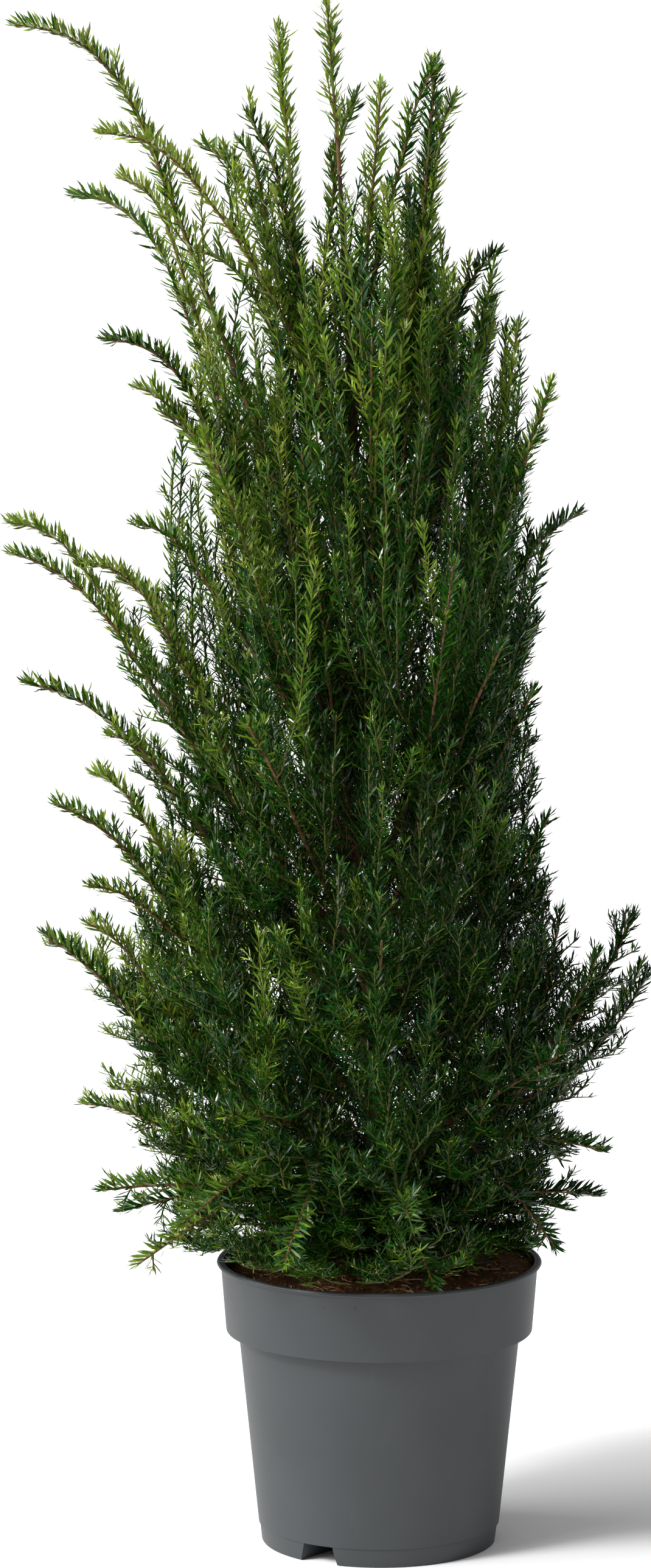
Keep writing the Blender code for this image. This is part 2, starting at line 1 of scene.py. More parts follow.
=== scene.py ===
# %% [markdown]
# # A potted yew, dressed on its CAD frame
#
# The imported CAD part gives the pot, the peat, the trunk, the boughs and one simple solid for each
# mass of foliage. This script grows the same plant again by the same rule and carries it on to
# finer twigs and single needles. Metres, +Z up, and the front is -Y.

# %%
import json
import math

import bmesh
import bpy
import numpy as np
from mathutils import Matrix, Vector

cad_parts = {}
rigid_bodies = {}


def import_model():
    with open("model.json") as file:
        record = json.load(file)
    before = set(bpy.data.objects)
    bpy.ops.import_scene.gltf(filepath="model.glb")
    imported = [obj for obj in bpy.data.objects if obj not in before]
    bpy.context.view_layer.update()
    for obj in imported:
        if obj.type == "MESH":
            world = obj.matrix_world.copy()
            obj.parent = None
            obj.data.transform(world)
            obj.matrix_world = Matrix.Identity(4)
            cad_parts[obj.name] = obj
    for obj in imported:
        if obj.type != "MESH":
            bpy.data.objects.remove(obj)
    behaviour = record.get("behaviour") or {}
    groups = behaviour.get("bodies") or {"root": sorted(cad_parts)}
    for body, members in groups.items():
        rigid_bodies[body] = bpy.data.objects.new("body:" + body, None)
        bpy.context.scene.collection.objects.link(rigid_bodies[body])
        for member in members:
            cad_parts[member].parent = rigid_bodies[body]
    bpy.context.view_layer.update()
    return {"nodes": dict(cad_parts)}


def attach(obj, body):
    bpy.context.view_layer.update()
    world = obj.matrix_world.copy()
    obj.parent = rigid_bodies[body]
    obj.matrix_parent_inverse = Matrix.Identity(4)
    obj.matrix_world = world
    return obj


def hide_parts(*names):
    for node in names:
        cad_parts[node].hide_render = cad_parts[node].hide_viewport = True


for item in list(bpy.data.objects):
    bpy.data.objects.remove(item)
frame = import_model()
NODES = sorted(frame["nodes"])

# %% [markdown]
# ## Camera
#
# The camera stands 7.2 m in front of the pot and 1.92 m up, and looks down by 8 degrees, which
# puts the pot's rim and foot where the photograph has them.

# %%
CAMERA_PLACE = (-0.063, -7.2, 1.92)
CAMERA_TILT = 81.91
PHOTO_SIZE = (1070, 2576)
FOCAL_PIXELS = 10309.0
SENSOR_WIDTH = 36.0

camera_data = bpy.data.cameras.new("camera")
camera_data.sensor_width = SENSOR_WIDTH
camera_data.lens = SENSOR_WIDTH * FOCAL_PIXELS / max(PHOTO_SIZE)
camera = bpy.data.objects.new("camera", camera_data)
camera.location = CAMERA_PLACE
camera.rotation_euler = (math.radians(CAMERA_TILT), 0, 0)
bpy.context.scene.collection.objects.link(camera)
bpy.context.scene.camera = camera

# %% [markdown]
# ## Small helpers
#
# One function adds a node with its settings and links, for materials and for geometry alike.

# %%


def linear(code):
    """Linear colour with alpha from an sRGB hex code."""
    parts = [int(code[k:k + 2], 16) / 255 for k in (1, 3, 5)]
    return [c / 12.92 if c <= 0.04045 else ((c + 0.055) / 1.055) ** 2.4 for c in parts] + [1.0]


def add_node(tree, kind, inputs=(), **settings):
    """A node with its settings; an input is a value, or the socket that feeds it."""
    node = tree.nodes.new(kind)
    for name, value in settings.items():
        setattr(node, name, value)
    for slot, value in dict(inputs).items():
        if isinstance(value, bpy.types.NodeSocket):
            tree.links.new(value, node.inputs[slot])
        else:
            node.inputs[slot].default_value = value
    return node


def made(tree, kind, inputs=(), **settings):
    """The first output of a new node."""
    return add_node(tree, kind, inputs, **settings).outputs[0]


def calc(tree, operation, *values):
    return made(tree, "ShaderNodeMath", enumerate(values), operation=operation)


def vector_calc(tree, operation, *values):
    return made(tree, "ShaderNodeVectorMath", enumerate(values), operation=operation)


def scaled(tree, vector, factor):
    return made(tree, "ShaderNodeVectorMath", {0: vector, 3: factor}, operation="SCALE")


def summed(tree, first, much, second, more):
    """Two vectors added, each times a number."""
    return vector_calc(tree, "ADD", scaled(tree, first, much), scaled(tree, second, more))


def mixed(tree, factor, first, second):
    """A vector between two others."""
    inputs = {"Factor": factor, 4: first, 5: second}
    return add_node(tree, "ShaderNodeMix", inputs, data_type="VECTOR").outputs[1]


def draw(tree, low, high, seed):
    """A random number for each point, between two limits."""
    return add_node(tree, "FunctionNodeRandomValue", {2: low, 3: high, 8: seed}).outputs[1]


def attribute(tree, name):
    return made(tree, "GeometryNodeInputNamedAttribute", {0: name})


def ease(tree, value, start, end, low, high):
    """Maps a number smoothly from one range to another."""
    inputs = {0: value, 1: start, 2: end, 3: low, 4: high}
    return made(tree, "ShaderNodeMapRange", inputs, interpolation_type="SMOOTHSTEP")


def new_tree(name, **inputs):
    """A geometry node tree with its named inputs; gives the tree, the input and the output sockets."""
    tree = bpy.data.node_groups.new(name, "GeometryNodeTree")
    tree.interface.new_socket("Geometry", in_out="OUTPUT", socket_type="NodeSocketGeometry")
    tree.interface.new_socket("Geometry", in_out="INPUT", socket_type="NodeSocketGeometry")
    for title, kind in inputs.items():
        tree.interface.new_socket(title, in_out="INPUT", socket_type="NodeSocket" + kind)
    return tree, tree.nodes.new("NodeGroupInput").outputs, tree.nodes.new("NodeGroupOutput").inputs


def curves_of(tree, given):
    """The curves of a mesh of open lines."""
    return made(tree, "GeometryNodeMeshToCurve", {0: given["Geometry"]})


def coloured(tree, given, result, geometry):
    """Sends geometry to the tree's output in the tree's material."""
    inputs = {0: geometry, "Material": given["Material"]}
    tree.links.new(made(tree, "GeometryNodeSetMaterial", inputs), result[0])


def strewn(tree, given, result, points, chosen, thing, turn, size):
    """Sends copies of a thing on the chosen points, turned and sized, to the tree's output."""
    inputs = {0: points, 1: chosen, 2: thing, 5: turn, 6: size}
    placed = made(tree, "GeometryNodeInstanceOnPoints", inputs)
    coloured(tree, given, result, made(tree, "GeometryNodeRealizeInstances", {0: placed}))


def made_mesh(name, operation, **settings):
    """A mesh made by one of the operations of bmesh."""
    mesh = bpy.data.meshes.new(name)
    shape = bmesh.new()
    operation(shape, **settings)
    shape.to_mesh(mesh)
    shape.free()
    return mesh


def new_object(name, mesh, *materials):
    mesh.name = name
    for material in materials:
        mesh.materials.append(material)
    item = bpy.data.objects.new(name, mesh)
    bpy.context.scene.collection.objects.link(item)
    return item


def baked(item):
    """Turns the object's modifiers into plain mesh."""
    bpy.context.view_layer.update()
    graph = bpy.context.evaluated_depsgraph_get()
    mesh = bpy.data.meshes.new_from_object(item.evaluated_get(graph), depsgraph=graph)
    item.modifiers.clear()
    mesh.name = item.name
    item.data = mesh
    return item


def grown(name, mesh, tree, **values):
    """An object made by a geometry node tree from a mesh, with the tree's inputs set by name."""
    item = new_object(name, mesh)
    modifier = item.modifiers.new("grow", "NODES")
    modifier.node_group = tree
    for socket in tree.interface.items_tree:
        if socket.in_out == "INPUT" and socket.name in values:
            modifier[socket.identifier] = values[socket.name]
    baked(item)
    for value in LINE_VALUES:
        if value in item.data.attributes:
            item.data.attributes.remove(item.data.attributes[value])
    return item


def finished(item, slot, *nodes):
    """Seats a piece on the part's one body, hides the CAD nodes that it stands for, and prints its
    triangle count.
    """
    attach(item, "root")
    if nodes:
        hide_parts(*nodes)
    item.data.calc_loop_triangles()
    print(item.name, len(item.data.loop_triangles), "triangles")
    return item


# %% [markdown]
# ## Materials
#
# Each material is named for the real finish. Patterns use object coordinates, in metres.

# %%


def new_material(name, roughness, specular=0.5):
    """A material with its shader; gives the material, its node tree and the shader."""
    material = bpy.data.materials.new(name)
    material.use_nodes = True
    shader = material.node_tree.nodes["Principled BSDF"]
    shader.inputs["Roughness"].default_value = roughness
    shader.inputs["Specular IOR Level"].default_value = specular
    return material, material.node_tree, shader


def noise(tree, scale, detail=3.0, stretch=(1, 1, 1)):
    """Noise in object space with so many features a metre, drawn out along an axis if wanted."""
    place = add_node(tree, "ShaderNodeTexCoord").outputs["Object"]
    place = made(tree, "ShaderNodeMapping", {0: place, 3: stretch})
    inputs = {"Vector": place, "Scale": scale, "Detail": detail}
    return add_node(tree, "ShaderNodeTexNoise", inputs).outputs["Fac"]


def ramp(tree, value, *stops):
    """Colours dealt along a value from 0 to 1: pairs of place and hex code."""
    node = add_node(tree, "ShaderNodeValToRGB", {0: value})
    for k, (place, code) in enumerate(stops):
        stop = node.color_ramp.elements[k] if k < 2 else node.color_ramp.elements.new(place)
        stop.position = place
        stop.color = linear(code)
    return node.outputs["Color"]


def relief(tree, shader, height, distance):
    inputs = {"Height": height, "Distance": distance, "Strength": 1.0}
    tree.links.new(made(tree, "ShaderNodeBump", inputs), shader.inputs["Normal"])


def two_tone(name, dark, light, scale, roughness, specular=0.5, bump=0.0, stretch=(1, 1, 1)):
    """A finish whose colour drifts between two codes, with relief of a given depth if wanted."""
    material, tree, shader = new_material(name, roughness, specular)
    grain = noise(tree, scale, stretch=stretch)
    tree.links.new(ramp(tree, grain, (0.32, dark), (0.68, light)), shader.inputs["Base Color"])
    if bump:
        relief(tree, shader, grain, bump)
    return material


# Needles: cuticle with a waxy gloss, in tints from dark to light; the tint a shoot gets from its place
# carries painted shade inside the crown and on its right
NEEDLE_TINTS = {
    "deep": ("#0a2604", "#103207"),
    "dark": ("#0f3606", "#18470a"),
    "blue": ("#123818", "#1b4a24"),
    "mid": ("#264c0c", "#366015"),
    "leaf": ("#4c6c18", "#648122"),
    "fresh": ("#6c8424", "#859a33"),
    "olive": ("#74842c", "#8a963a"),
}
NEEDLES = {
    tint: two_tone("waxy_yew_needle_" + tint, low, high, 90.0, 0.20, 0.38)
    for tint, (low, high) in NEEDLE_TINTS.items()
}

# Bark: thin and flaking on the old wood, smooth and ribbed on the young
OLD_BARK = two_tone("flaking_yew_bark", "#2c201a", "#574032", 260.0, 0.82, 0.2, 0.0006, (1, 1, 0.22))
LIMB_BARK = two_tone("limb_bark", "#46331f", "#7d5e40", 300.0, 0.75, 0.2, 0.0003, (1, 1, 0.3))
TAN_BARK = two_tone("second_year_twig_bark", "#3f401b", "#5f5c2a", 220.0, 0.62, 0.25)
GREEN_BARK = two_tone("first_year_twig_bark", "#3f5518", "#61722a", 220.0, 0.5, 0.3)
BUD_SCALES = two_tone("bud_scales", "#7f7a30", "#a99a45", 300.0, 0.5, 0.3)

# Pot: matt grey moulded polypropylene; peat, fibres and crumbs
PEAT = two_tone("damp_peat", "#33210f", "#76502f", 240.0, 0.95, 0.2, 0.0012)
PEAT_CRUMBS = two_tone("peat_crumbs", "#4a2f1e", "#946342", 500.0, 0.95, 0.2)
STRAW = two_tone("peat_fibres", "#9a7a55", "#dcc094", 300.0, 0.8, 0.3)
CLOD = two_tone("red_brown_clod", "#4f2c1b", "#7c4a2e", 700.0, 0.95, 0.2, 0.0008)


def pot_plastic():
    """Matt grey polypropylene: fine moulded grain, faint clouding and a few dusty scuffs."""
    material, tree, shader = new_material("matt_grey_polypropylene", 0.5, 0.42)
    cloud = noise(tree, 9.0)
    grey = ramp(tree, cloud, (0.3, "#323537"), (0.7, "#373a3c"))
    scuff = ramp(tree, noise(tree, 60.0, 6.0, (1, 1, 0.35)), (0.62, "#000000"), (0.74, "#ffffff"))
    inputs = {"Factor": calc(tree, "MULTIPLY", scuff, 0.03), 6: grey, 7: linear("#6b6a66")}
    dusty = add_node(tree, "ShaderNodeMix", inputs, data_type="RGBA").outputs[2]
    tree.links.new(dusty, shader.inputs["Base Color"])
    relief(tree, shader, noise(tree, 1600.0, 2.0), 0.00012)
    return material


POT_PLASTIC = pot_plastic()

# %% [markdown]
# ## The plant's rule
#
# The tables and the curves are those of the CAD source: trunk, limbs, crown outline.

# %%
POT_HEIGHT = 0.335
LIP_RADIUS = 0.190
SOIL_LEVEL = 0.322
TRUNK_TOP = 1.60
TRUNK_LEAN = -0.047
TRUNK_RADIUS = (0.0160, 0.0022)
FLARE_RADIUS = 0.012
FLARE_HEIGHT = 0.035
BOUGH_RADIUS = (0.0085, 0.0036)
STEM_RADIUS = (0.0036, 0.0014)
SEED = 25

# How far shoots keep above the lip and, inside it, above its level; and how low they hang outside
OVER_LIP = 0.014
OVER_PEAT = 0.004
SKIRT_FLOOR = 0.325

# Height, and how far the crown reaches there to the left, to the right, and to front or back
CROWN = (
    (0.34, 0.25, 0.19, 0.24), (0.5, 0.31, 0.25, 0.3), (0.65, 0.33, 0.3, 0.32),
    (0.76, 0.34, 0.3, 0.31), (0.82, 0.32, 0.2, 0.3), (1.0, 0.32, 0.18, 0.27),
    (1.2, 0.31, 0.19, 0.25), (1.4, 0.29, 0.18, 0.2), (1.55, 0.29, 0.1, 0.15),
    (1.7, 0.34, 0.08, 0.12), (1.8, 0.38, 0.05, 0.08),
)

# A hooked limb bends over in its last part, and reaches out a little further as it does
HOOK_START = 0.72
HOOK_OUT = 0.4

# One row a limb: name, height on the trunk, tip, arch, hook, share that is a bare bough, girth,
# length of its side shoots
LIMBS = (
    ("low_left", 0.405, (-0.39, -0.03, 0.725), -0.25, 0.5, 0.3, 1.0, 0.22),
    ("low_left_under", 0.365, (-0.32, -0.11, 0.44), 0.3, 0.0, 0.34, 0.8, 0.17),
    ("low_front_left", 0.435, (-0.175, -0.285, 0.56), 0.2, 0.0, 0.3, 0.9, 0.21),
    ("low_front", 0.375, (0.03, -0.3, 0.45), 0.4, 0.0, 0.0, 0.8, 0.19),
    ("low_front_right", 0.455, (0.205, -0.22, 0.62), 0.0, 0.0, 0.34, 0.9, 0.21),
    ("low_right", 0.415, (0.295, -0.01, 0.745), -0.3, 0.0, 0.32, 0.9, 0.2),
    ("low_right_under", 0.365, (0.25, -0.09, 0.43), 0.3, 0.0, 0.0, 0.7, 0.15),
    ("low_right_back", 0.375, (0.312, 0.14, 0.66), -0.3, 0.0, 0.32, 0.8, 0.21),
    ("low_back_right", 0.425, (0.12, 0.3, 0.59), 0.1, 0.0, 0.3, 0.8, 0.21),
    ("low_back", 0.365, (-0.11, 0.29, 0.44), 0.3, 0.0, 0.3, 0.8, 0.17),
    ("low_left_back", 0.435, (-0.31, 0.18, 0.64), 0.0, 0.0, 0.3, 0.9, 0.22),
    ("mid_left_low", 0.52, (-0.372, -0.09, 0.885), -0.15, 0.7, 0.28, 1.0, 0.21),
    ("mid_left", 0.59, (-0.412, 0.03, 1.01), 0.0, 0.8, 0.28, 1.0, 0.2),
    ("mid_left_back", 0.56, (-0.26, 0.21, 0.96), 0.0, 0.2, 0.28, 0.9, 0.22),
    ("mid_left_high", 0.68, (-0.424, -0.06, 1.172), -0.1, 0.8, 0.28, 1.0, 0.19),
    ("mid_front_left", 0.65, (-0.15, -0.255, 1.0), 0.0, 0.2, 0.26, 1.0, 0.21),
    ("mid_front", 0.5, (0.0, -0.285, 0.76), 0.1, 0.0, 0.28, 0.9, 0.21),
    ("mid_front_right", 0.7, (0.135, -0.2, 1.08), 0.0, 0.2, 0.26, 0.9, 0.2),
    ("mid_right_low", 0.54, (0.192, -0.08, 0.87), -0.1, 0.0, 0.0, 0.8, 0.19),
    ("mid_right", 0.71, (0.182, 0.02, 1.09), -0.15, 0.0, 0.0, 0.8, 0.18),
    ("mid_back_right", 0.58, (0.16, 0.22, 0.95), 0.0, 0.0, 0.28, 0.9, 0.22),
    ("mid_back", 0.64, (-0.06, 0.265, 1.08), 0.05, 0.0, 0.26, 0.9, 0.22),
    ("high_right", 0.8, (0.231, 0.05, 1.205), 0.0, 0.7, 0.0, 0.7, 0.16),
    ("high_right_front", 0.78, (0.193, -0.09, 1.37), -0.05, 0.0, 0.0, 0.8, 0.19),
    ("high_front", 0.82, (-0.01, -0.17, 1.45), -0.25, 0.0, 0.0, 0.8, 0.19),
    ("high_front_left", 0.77, (-0.2, -0.19, 1.32), -0.1, 0.3, 0.0, 0.8, 0.2),
    ("high_left", 0.85, (-0.31, -0.13, 1.42), 0.05, 1.0, 0.0, 0.8, 0.19),
    ("high_left_back", 0.8, (-0.16, 0.2, 1.33), 0.0, 0.2, 0.0, 0.8, 0.2),
    ("high_back", 0.88, (0.03, 0.17, 1.43), -0.05, 0.0, 0.0, 0.8, 0.2),
    ("left_arch", 0.89, (-0.36, 0.19, 1.566), -0.05, 1.1, 0.0, 0.8, 0.18),
    ("top_left_arch", 0.97, (-0.414, -0.05, 1.77), 0.1, 1.0, 0.28, 0.9, 0.18),
    ("leader_left", 0.74, (-0.118, 0.022, 1.768), -0.3, 0.0, 0.34, 0.9, 0.18),
    ("second_arch", 1.26, (-0.315, -0.13, 1.652), 0.25, 1.0, 0.0, 0.7, 0.17),
    ("third_arch", 1.2, (-0.208, 0.13, 1.626), 0.0, 0.9, 0.0, 0.7, 0.17),
    ("right_leader", 1.0, (0.062, -0.04, 1.73), -0.25, 0.0, 0.0, 0.8, 0.19),
    ("right_upright", 0.96, (0.136, 0.03, 1.508), -0.2, 0.8, 0.0, 0.8, 0.17),
    ("leading_shoot", TRUNK_TOP, (-0.062, 0.0, 1.796), 0.0, 0.0, 0.0, 0.6, 0.08),
)

# Long shoots that stand out between the limbs: parent, share along it (or height on the trunk),
# tip, arch, hook
SHOOTS = (
    ("trunk", 1.05, (-0.152, -0.06, 1.67), 0.0, 0.6),
    ("trunk", 1.3, (0.0, -0.02, 1.7), -0.17, 0.0),
    ("trunk", 1.15, (0.066, 0.04, 1.68), -0.22, 0.0),
    ("trunk", 1.2, (0.05, -0.05, 1.53), -0.22, 0.0),
    ("trunk", 0.95, (0.015, -0.1, 1.515), -0.32, 0.0),
    ("trunk", 0.9, (0.09, 0.11, 1.455), -0.17, 0.0),
    ("trunk", 0.7, (-0.25, -0.08, 1.335), 0.0, 0.6),
    ("trunk", 0.75, (-0.09, -0.19, 1.3), -0.22, 0.0),
    ("trunk", 0.6, (0.08, -0.23, 1.18), -0.22, 0.0),
    ("third_arch", 0.45, (-0.163, 0.08, 1.635), 0.0, 0.6),
    ("leader_left", 0.62, (-0.03, 0.04, 1.68), 0.0, 0.6),
    ("right_leader", 0.45, (0.084, -0.03, 1.69), 0.0, 0.6),
    ("right_leader", 0.3, (0.11, -0.08, 1.365), 0.0, 0.6),
    ("right_upright", 0.3, (0.129, -0.03, 1.5), -0.22, 0.0),
    ("right_upright", 0.2, (0.133, 0.09, 1.45), -0.12, 0.0),
    ("high_right_front", 0.3, (0.156, -0.04, 1.43), -0.17, 0.0),
    ("high_right_front", 0.25, (0.187, 0.02, 1.3), 0.0, 0.6),
    ("mid_right", 0.35, (0.188, -0.06, 1.18), -0.17, 0.0),
    ("mid_right", 0.2, (0.175, -0.1, 1.02), -0.12, 0.0),
    ("left_arch", 0.45, (-0.298, 0.1, 1.59), 0.05, 0.9),
    ("high_left", 0.55, (-0.278, -0.08, 1.362), 0.05, 0.9),
    ("high_front_left", 0.35, (-0.28, -0.06, 1.205), 0.05, 0.9),
    ("mid_left_high", 0.42, (-0.427, 0.02, 1.198), 0.05, 0.9),
    ("mid_left_high", 0.25, (-0.33, -0.12, 1.165), 0.05, 0.9),
    ("mid_left_high", 0.3, (-0.3, 0.06, 1.125), 0.05, 0.9),
    ("mid_left", 0.45, (-0.31, -0.06, 0.96), 0.05, 0.9),
    ("mid_left_low", 0.45, (-0.333, 0.01, 0.906), 0.05, 0.9),
    ("mid_left_low", 0.3, (-0.33, -0.15, 0.8), 0.05, 0.9),
    ("low_left", 0.45, (-0.386, 0.05, 0.703), 0.05, 0.9),
    ("low_left", 0.35, (-0.335, -0.11, 0.75), 0.0, 0.6),
    ("low_left", 0.3, (-0.31, 0.0, 0.64), 0.05, 0.9),
    ("low_left_under", 0.4, (-0.342, -0.06, 0.531), 0.05, 0.9),
    ("low_left_under", 0.45, (-0.28, -0.1, 0.35), 0.35, 0.0),
    ("low_left_under", 0.3, (-0.3, -0.04, 0.4), 0.35, 0.0),
    ("low_front_left", 0.4, (-0.23, -0.22, 0.42), 0.3, 0.0),
    ("low_front_left", 0.3, (-0.11, -0.26, 0.385), 0.4, 0.0),
    ("low_front", 0.4, (0.06, -0.215, 0.352), 0.5, 0.0),
    ("low_front_right", 0.35, (0.2, -0.17, 0.385), 0.3, 0.0),
    ("low_front_right", 0.35, (0.255, -0.13, 0.49), 0.05, 0.9),
    ("low_right", 0.4, (0.313, 0.04, 0.665), -0.32, 0.0),
    ("low_right", 0.35, (0.251, -0.08, 0.71), -0.22, 0.0),
    ("low_right", 0.45, (0.208, -0.06, 0.76), -0.22, 0.0),
    ("low_right_under", 0.4, (0.219, -0.03, 0.4), 0.3, 0.0),
    ("low_back", 0.4, (0.03, 0.26, 0.4), 0.35, 0.0),
    ("low_left_back", 0.4, (-0.25, 0.2, 0.42), 0.35, 0.0),
    ("low_right_back", 0.4, (0.22, 0.19, 0.42), 0.3, 0.0),
    ("trunk", 1.22, (-0.209, 0.05, 1.509), 0.05, 0.9),
    ("trunk", 1.38, (0.06, -0.06, 1.722), 0.05, 0.5),
    ("low_left_under", 0.35, (-0.302, -0.02, 0.515), 0.0, 0.6),
    ("low_right", 0.3, (0.262, 0.02, 0.672), -0.1, 0.0),
)
FOLIAGE_NODES = [node for node in NODES if node.endswith("_foliage")]
BOUGH_NODES = [node for node in NODES if node.endswith("_bough")]
print(len(LIMBS), "limbs,", len(SHOOTS), "long shoots")

# %%


def trunk_point(height):
    """Middle of the trunk at a height; it leans a little to the left as it rises."""
    rise = max(0.0, (height - SOIL_LEVEL) / (TRUNK_TOP - SOIL_LEVEL))
    return np.array((TRUNK_LEAN * rise ** 1.6, 0.008 * math.sin(3.0 * rise), height))


def trunk_radius(height):
    rise = (height - SOIL_LEVEL) / (TRUNK_TOP - SOIL_LEVEL)
    flare = FLARE_RADIUS * math.exp(-max(0.0, height - SOIL_LEVEL) / FLARE_HEIGHT)
    return TRUNK_RADIUS[0] + (TRUNK_RADIUS[1] - TRUNK_RADIUS[0]) * rise ** 0.8 + flare


def bent(foot, control, tip, count):
    """Points along a quadratic arc."""
    share = np.linspace(0, 1, count)[:, None]
    return foot * (1 - share) ** 2 + control * 2 * share * (1 - share) + tip * share ** 2


def arc_to(foot, tip, arch, count):
    """A limb's arc: above 0 it rises first and then leans out, below 0 it leans out first."""
    span = tip - foot
    control = foot + 0.5 * (1 - arch) * span * (1, 1, 0)
    control[2] += 0.5 * (span[2] + arch * np.linalg.norm(span))
    return bent(foot, control, tip, count)


def unit(vector):
    return vector / max(1e-9, np.linalg.norm(vector))


def turned_about(vector, axis, angle):
    """A vector that stands square to an axis, turned about it."""
    return vector * math.cos(angle) + np.cross(axis, vector) * math.sin(angle)


def crown_share(points):
    """How far out in the crown each point lies; 1 is its outside."""
    heights, *reaches = np.array(CROWN).T
    left, right, deep = (np.interp(points[:, 2], heights, reach) for reach in reaches)
    across = np.where(points[:, 0] < 0, left, right)
    return np.hypot(points[:, 0] / across, points[:, 1] / deep)


def allowed(points):
    """True where a point is inside the crown and clear of the pot and its lip."""
    from_axis = np.hypot(points[:, 0], points[:, 1])
    lowest = np.where(from_axis < LIP_RADIUS + 0.012, POT_HEIGHT + OVER_LIP, SKIRT_FLOOR)
    lowest = np.where(from_axis < LIP_RADIUS - 0.030, POT_HEIGHT + OVER_PEAT, lowest)
    return (crown_share(points) < 1.02) & (points[:, 2] > lowest)


# %% [markdown]
# ## Growing the shoots
#
# A shoot is a line of points with its own width, needle length and how flat its needles lie.
# Limbs and long shoots come from the tables. Side shoots leave them in turn round the stem,
# and twigs leave the side shoots to left and right. Where a shoot would leave the crown it ends.

# %%
# Height, and how wide the crown's full body is there against its outline
BODY_LEFT = ((0.36, 1.0), (0.75, 0.92), (0.95, 0.74), (1.3, 0.80), (1.45, 0.66), (1.62, 0.42))
BODY_RIGHT = ((0.36, 1.0), (0.5, 0.86), (0.62, 0.75), (0.78, 0.75), (0.84, 1.0), (1.4, 1.0), (1.6, 0.5))

draws = np.random.default_rng(SEED)
GOLDEN = 2.4
UPRIGHT = np.array((0.0, 0.0, 1.0))

# Orders of shoot; a tuft is a row of needles with no wood of its own
LIMB, SIDE, TWIG, TUFT = range(4)
NO_WOOD = (0, 0, 0, 0)

# Share of the twigs that end in a tuft, and the shortest side shoot that has twigs
TUFTED_TWIGS = 0.35
LEAST_TWIGGED = 0.045

# Share of the crown past which side shoots stay short, and the height of its wide low part
OUTER_EDGE = 0.98
LOW_CROWN = 0.75

RISERS = 230
RISER_HEIGHTS = (0.62, 1.60)
RISER_LENGTHS = (0.13, 0.27)

# First height, last height and step, then height and length of the trunk's own shoots
TRUNK_SHOOT_HEIGHTS = (0.36, 1.50, 0.010)
TRUNK_SHOOT_LENGTHS = ((0.36, 0.12), (0.6, 0.20), (1.0, 0.18), (1.4, 0.12), (1.6, 0.06))

# Seven in eight of the skirt's shoots end short of the front, where the peat shows
SKIRT_SHOOTS = 160
SKIRT_FOOT = 0.344
SKIRT_GAP = 0.0006
SKIRT_SPREAD = (70, 98)
SKIRT_LENGTHS = (0.11, 0.29)
SKIRT_FRONT = 0.085

# Lowest spray and how far up they go; then by height: how crowded a cell may be that still gets
# a spray, a spray's length, and the share of it by which it starts below its tip
FILL_TRIES = 3600
FILL_FOOT = 0.352
FILL_HEIGHT = 1.15
FILL_LIMIT = ((0.40, 3.0), (0.80, 2.5), (1.10, 1.5), (1.40, 0.6))
FILL_LENGTHS = ((0.36, 0.075), (0.8, 0.10), (1.3, 0.15))
FILL_DROPS = ((0.36, 0.25), (0.7, 0.65), (1.2, 0.90))
CELL = 0.034

# How the plant branches at each height: gap between side shoots, their spread in degrees, their
# length against the table's, their lift, gap between twigs, and a twig's length
HABIT_NAMES = ("gap", "spread", "stretch", "lift", "twig_gap", "twig_size")
HABIT = (
    (0.40, 0.0150, 56, 0.80, 0.20, 0.0120, 0.055),
    (0.75, 0.0165, 44, 1.00, 0.35, 0.0140, 0.055),
    (1.15, 0.0260, 27, 1.30, 0.60, 0.0290, 0.042),
    (1.50, 0.0450, 19, 1.35, 0.80, 0.0560, 0.036),
)

# Side shoots by where they grow: radius at the foot, half-way and at the tip, how full of needles
# they are at the foot and at the tip, how steep their needles' V is, and lines of their tuft
KINDS = {
    "from_limb": ((0.0016, 0.0011, 0.0008), (0.8, 1.0), 0.45, 2),
    "from_trunk": ((0.0019, 0.0013, 0.0008), (0.6, 1.4), 0.40, 0),
    "riser": ((0.0019, 0.0013, 0.0009), (0.5, 1.4), 0.50, 2),
    "skirt": ((0.0022, 0.0014, 0.0008), (0.6, 1.4), 0.40, 2),
    "fill": ((0.0015, 0.0011, 0.0008), (0.7, 1.5), 0.50, 2),
}
shoots = []
crowding = {}


def by_height(height, *rows):
    """A number that changes with height, from pairs of height and number."""
    return float(np.interp(height, *np.array(rows).T))


def habit(height):
    """The numbers of the habit table at a height."""
    rows = np.array(HABIT).T
    return {name: float(np.interp(height, rows[0], row)) for name, row in zip(HABIT_NAMES, rows[1:])}


def keep(points, order, radii, needle, leafy, raised=0.3):
    """Files a shoot. Radii are given at its foot, at a share of its length and at its tip, leafy
    is how full of needles it is at its foot and at its tip, and raised how steep their V is.
    Deep in the crown, where little light comes, a shoot has fewer needles."""
    ends = points[[0, -1]]
    lit = np.interp(crown_share(ends), (0.30, 0.85), (0.45, 1.15))
    lit = np.maximum(lit, np.interp(ends[:, 2], (1.05, 1.35), (0.0, 1.0)))
    shoots.append({"points": points, "order": order, "radii": radii, "needle": needle,
                   "leafy": lit * leafy, "raised": raised})
    if order < TUFT:
        for point in points:
            crowding[cell(point)] = crowding.get(cell(point), 0) + 1
    return shoots[-1]


def body_point(azimuth, height, share):
    """A point in the crown's full body; 1 is its surface, which the arching limbs pass through."""
    way = np.array((math.cos(azimuth), math.sin(azimuth), 0.0))
    edge = 1 / crown_share((way + (0, 0, height))[None])[0]
    side = BODY_LEFT if way[0] < 0 else BODY_RIGHT
    narrow = by_height(height, *side)
    return way * edge * share * (1 - (1 - narrow) * abs(way[0])) + (0, 0, height)


def cell(point):
    """Which cube of the crowding count a point lies in."""
    return tuple(int(math.floor(part / CELL)) for part in point)


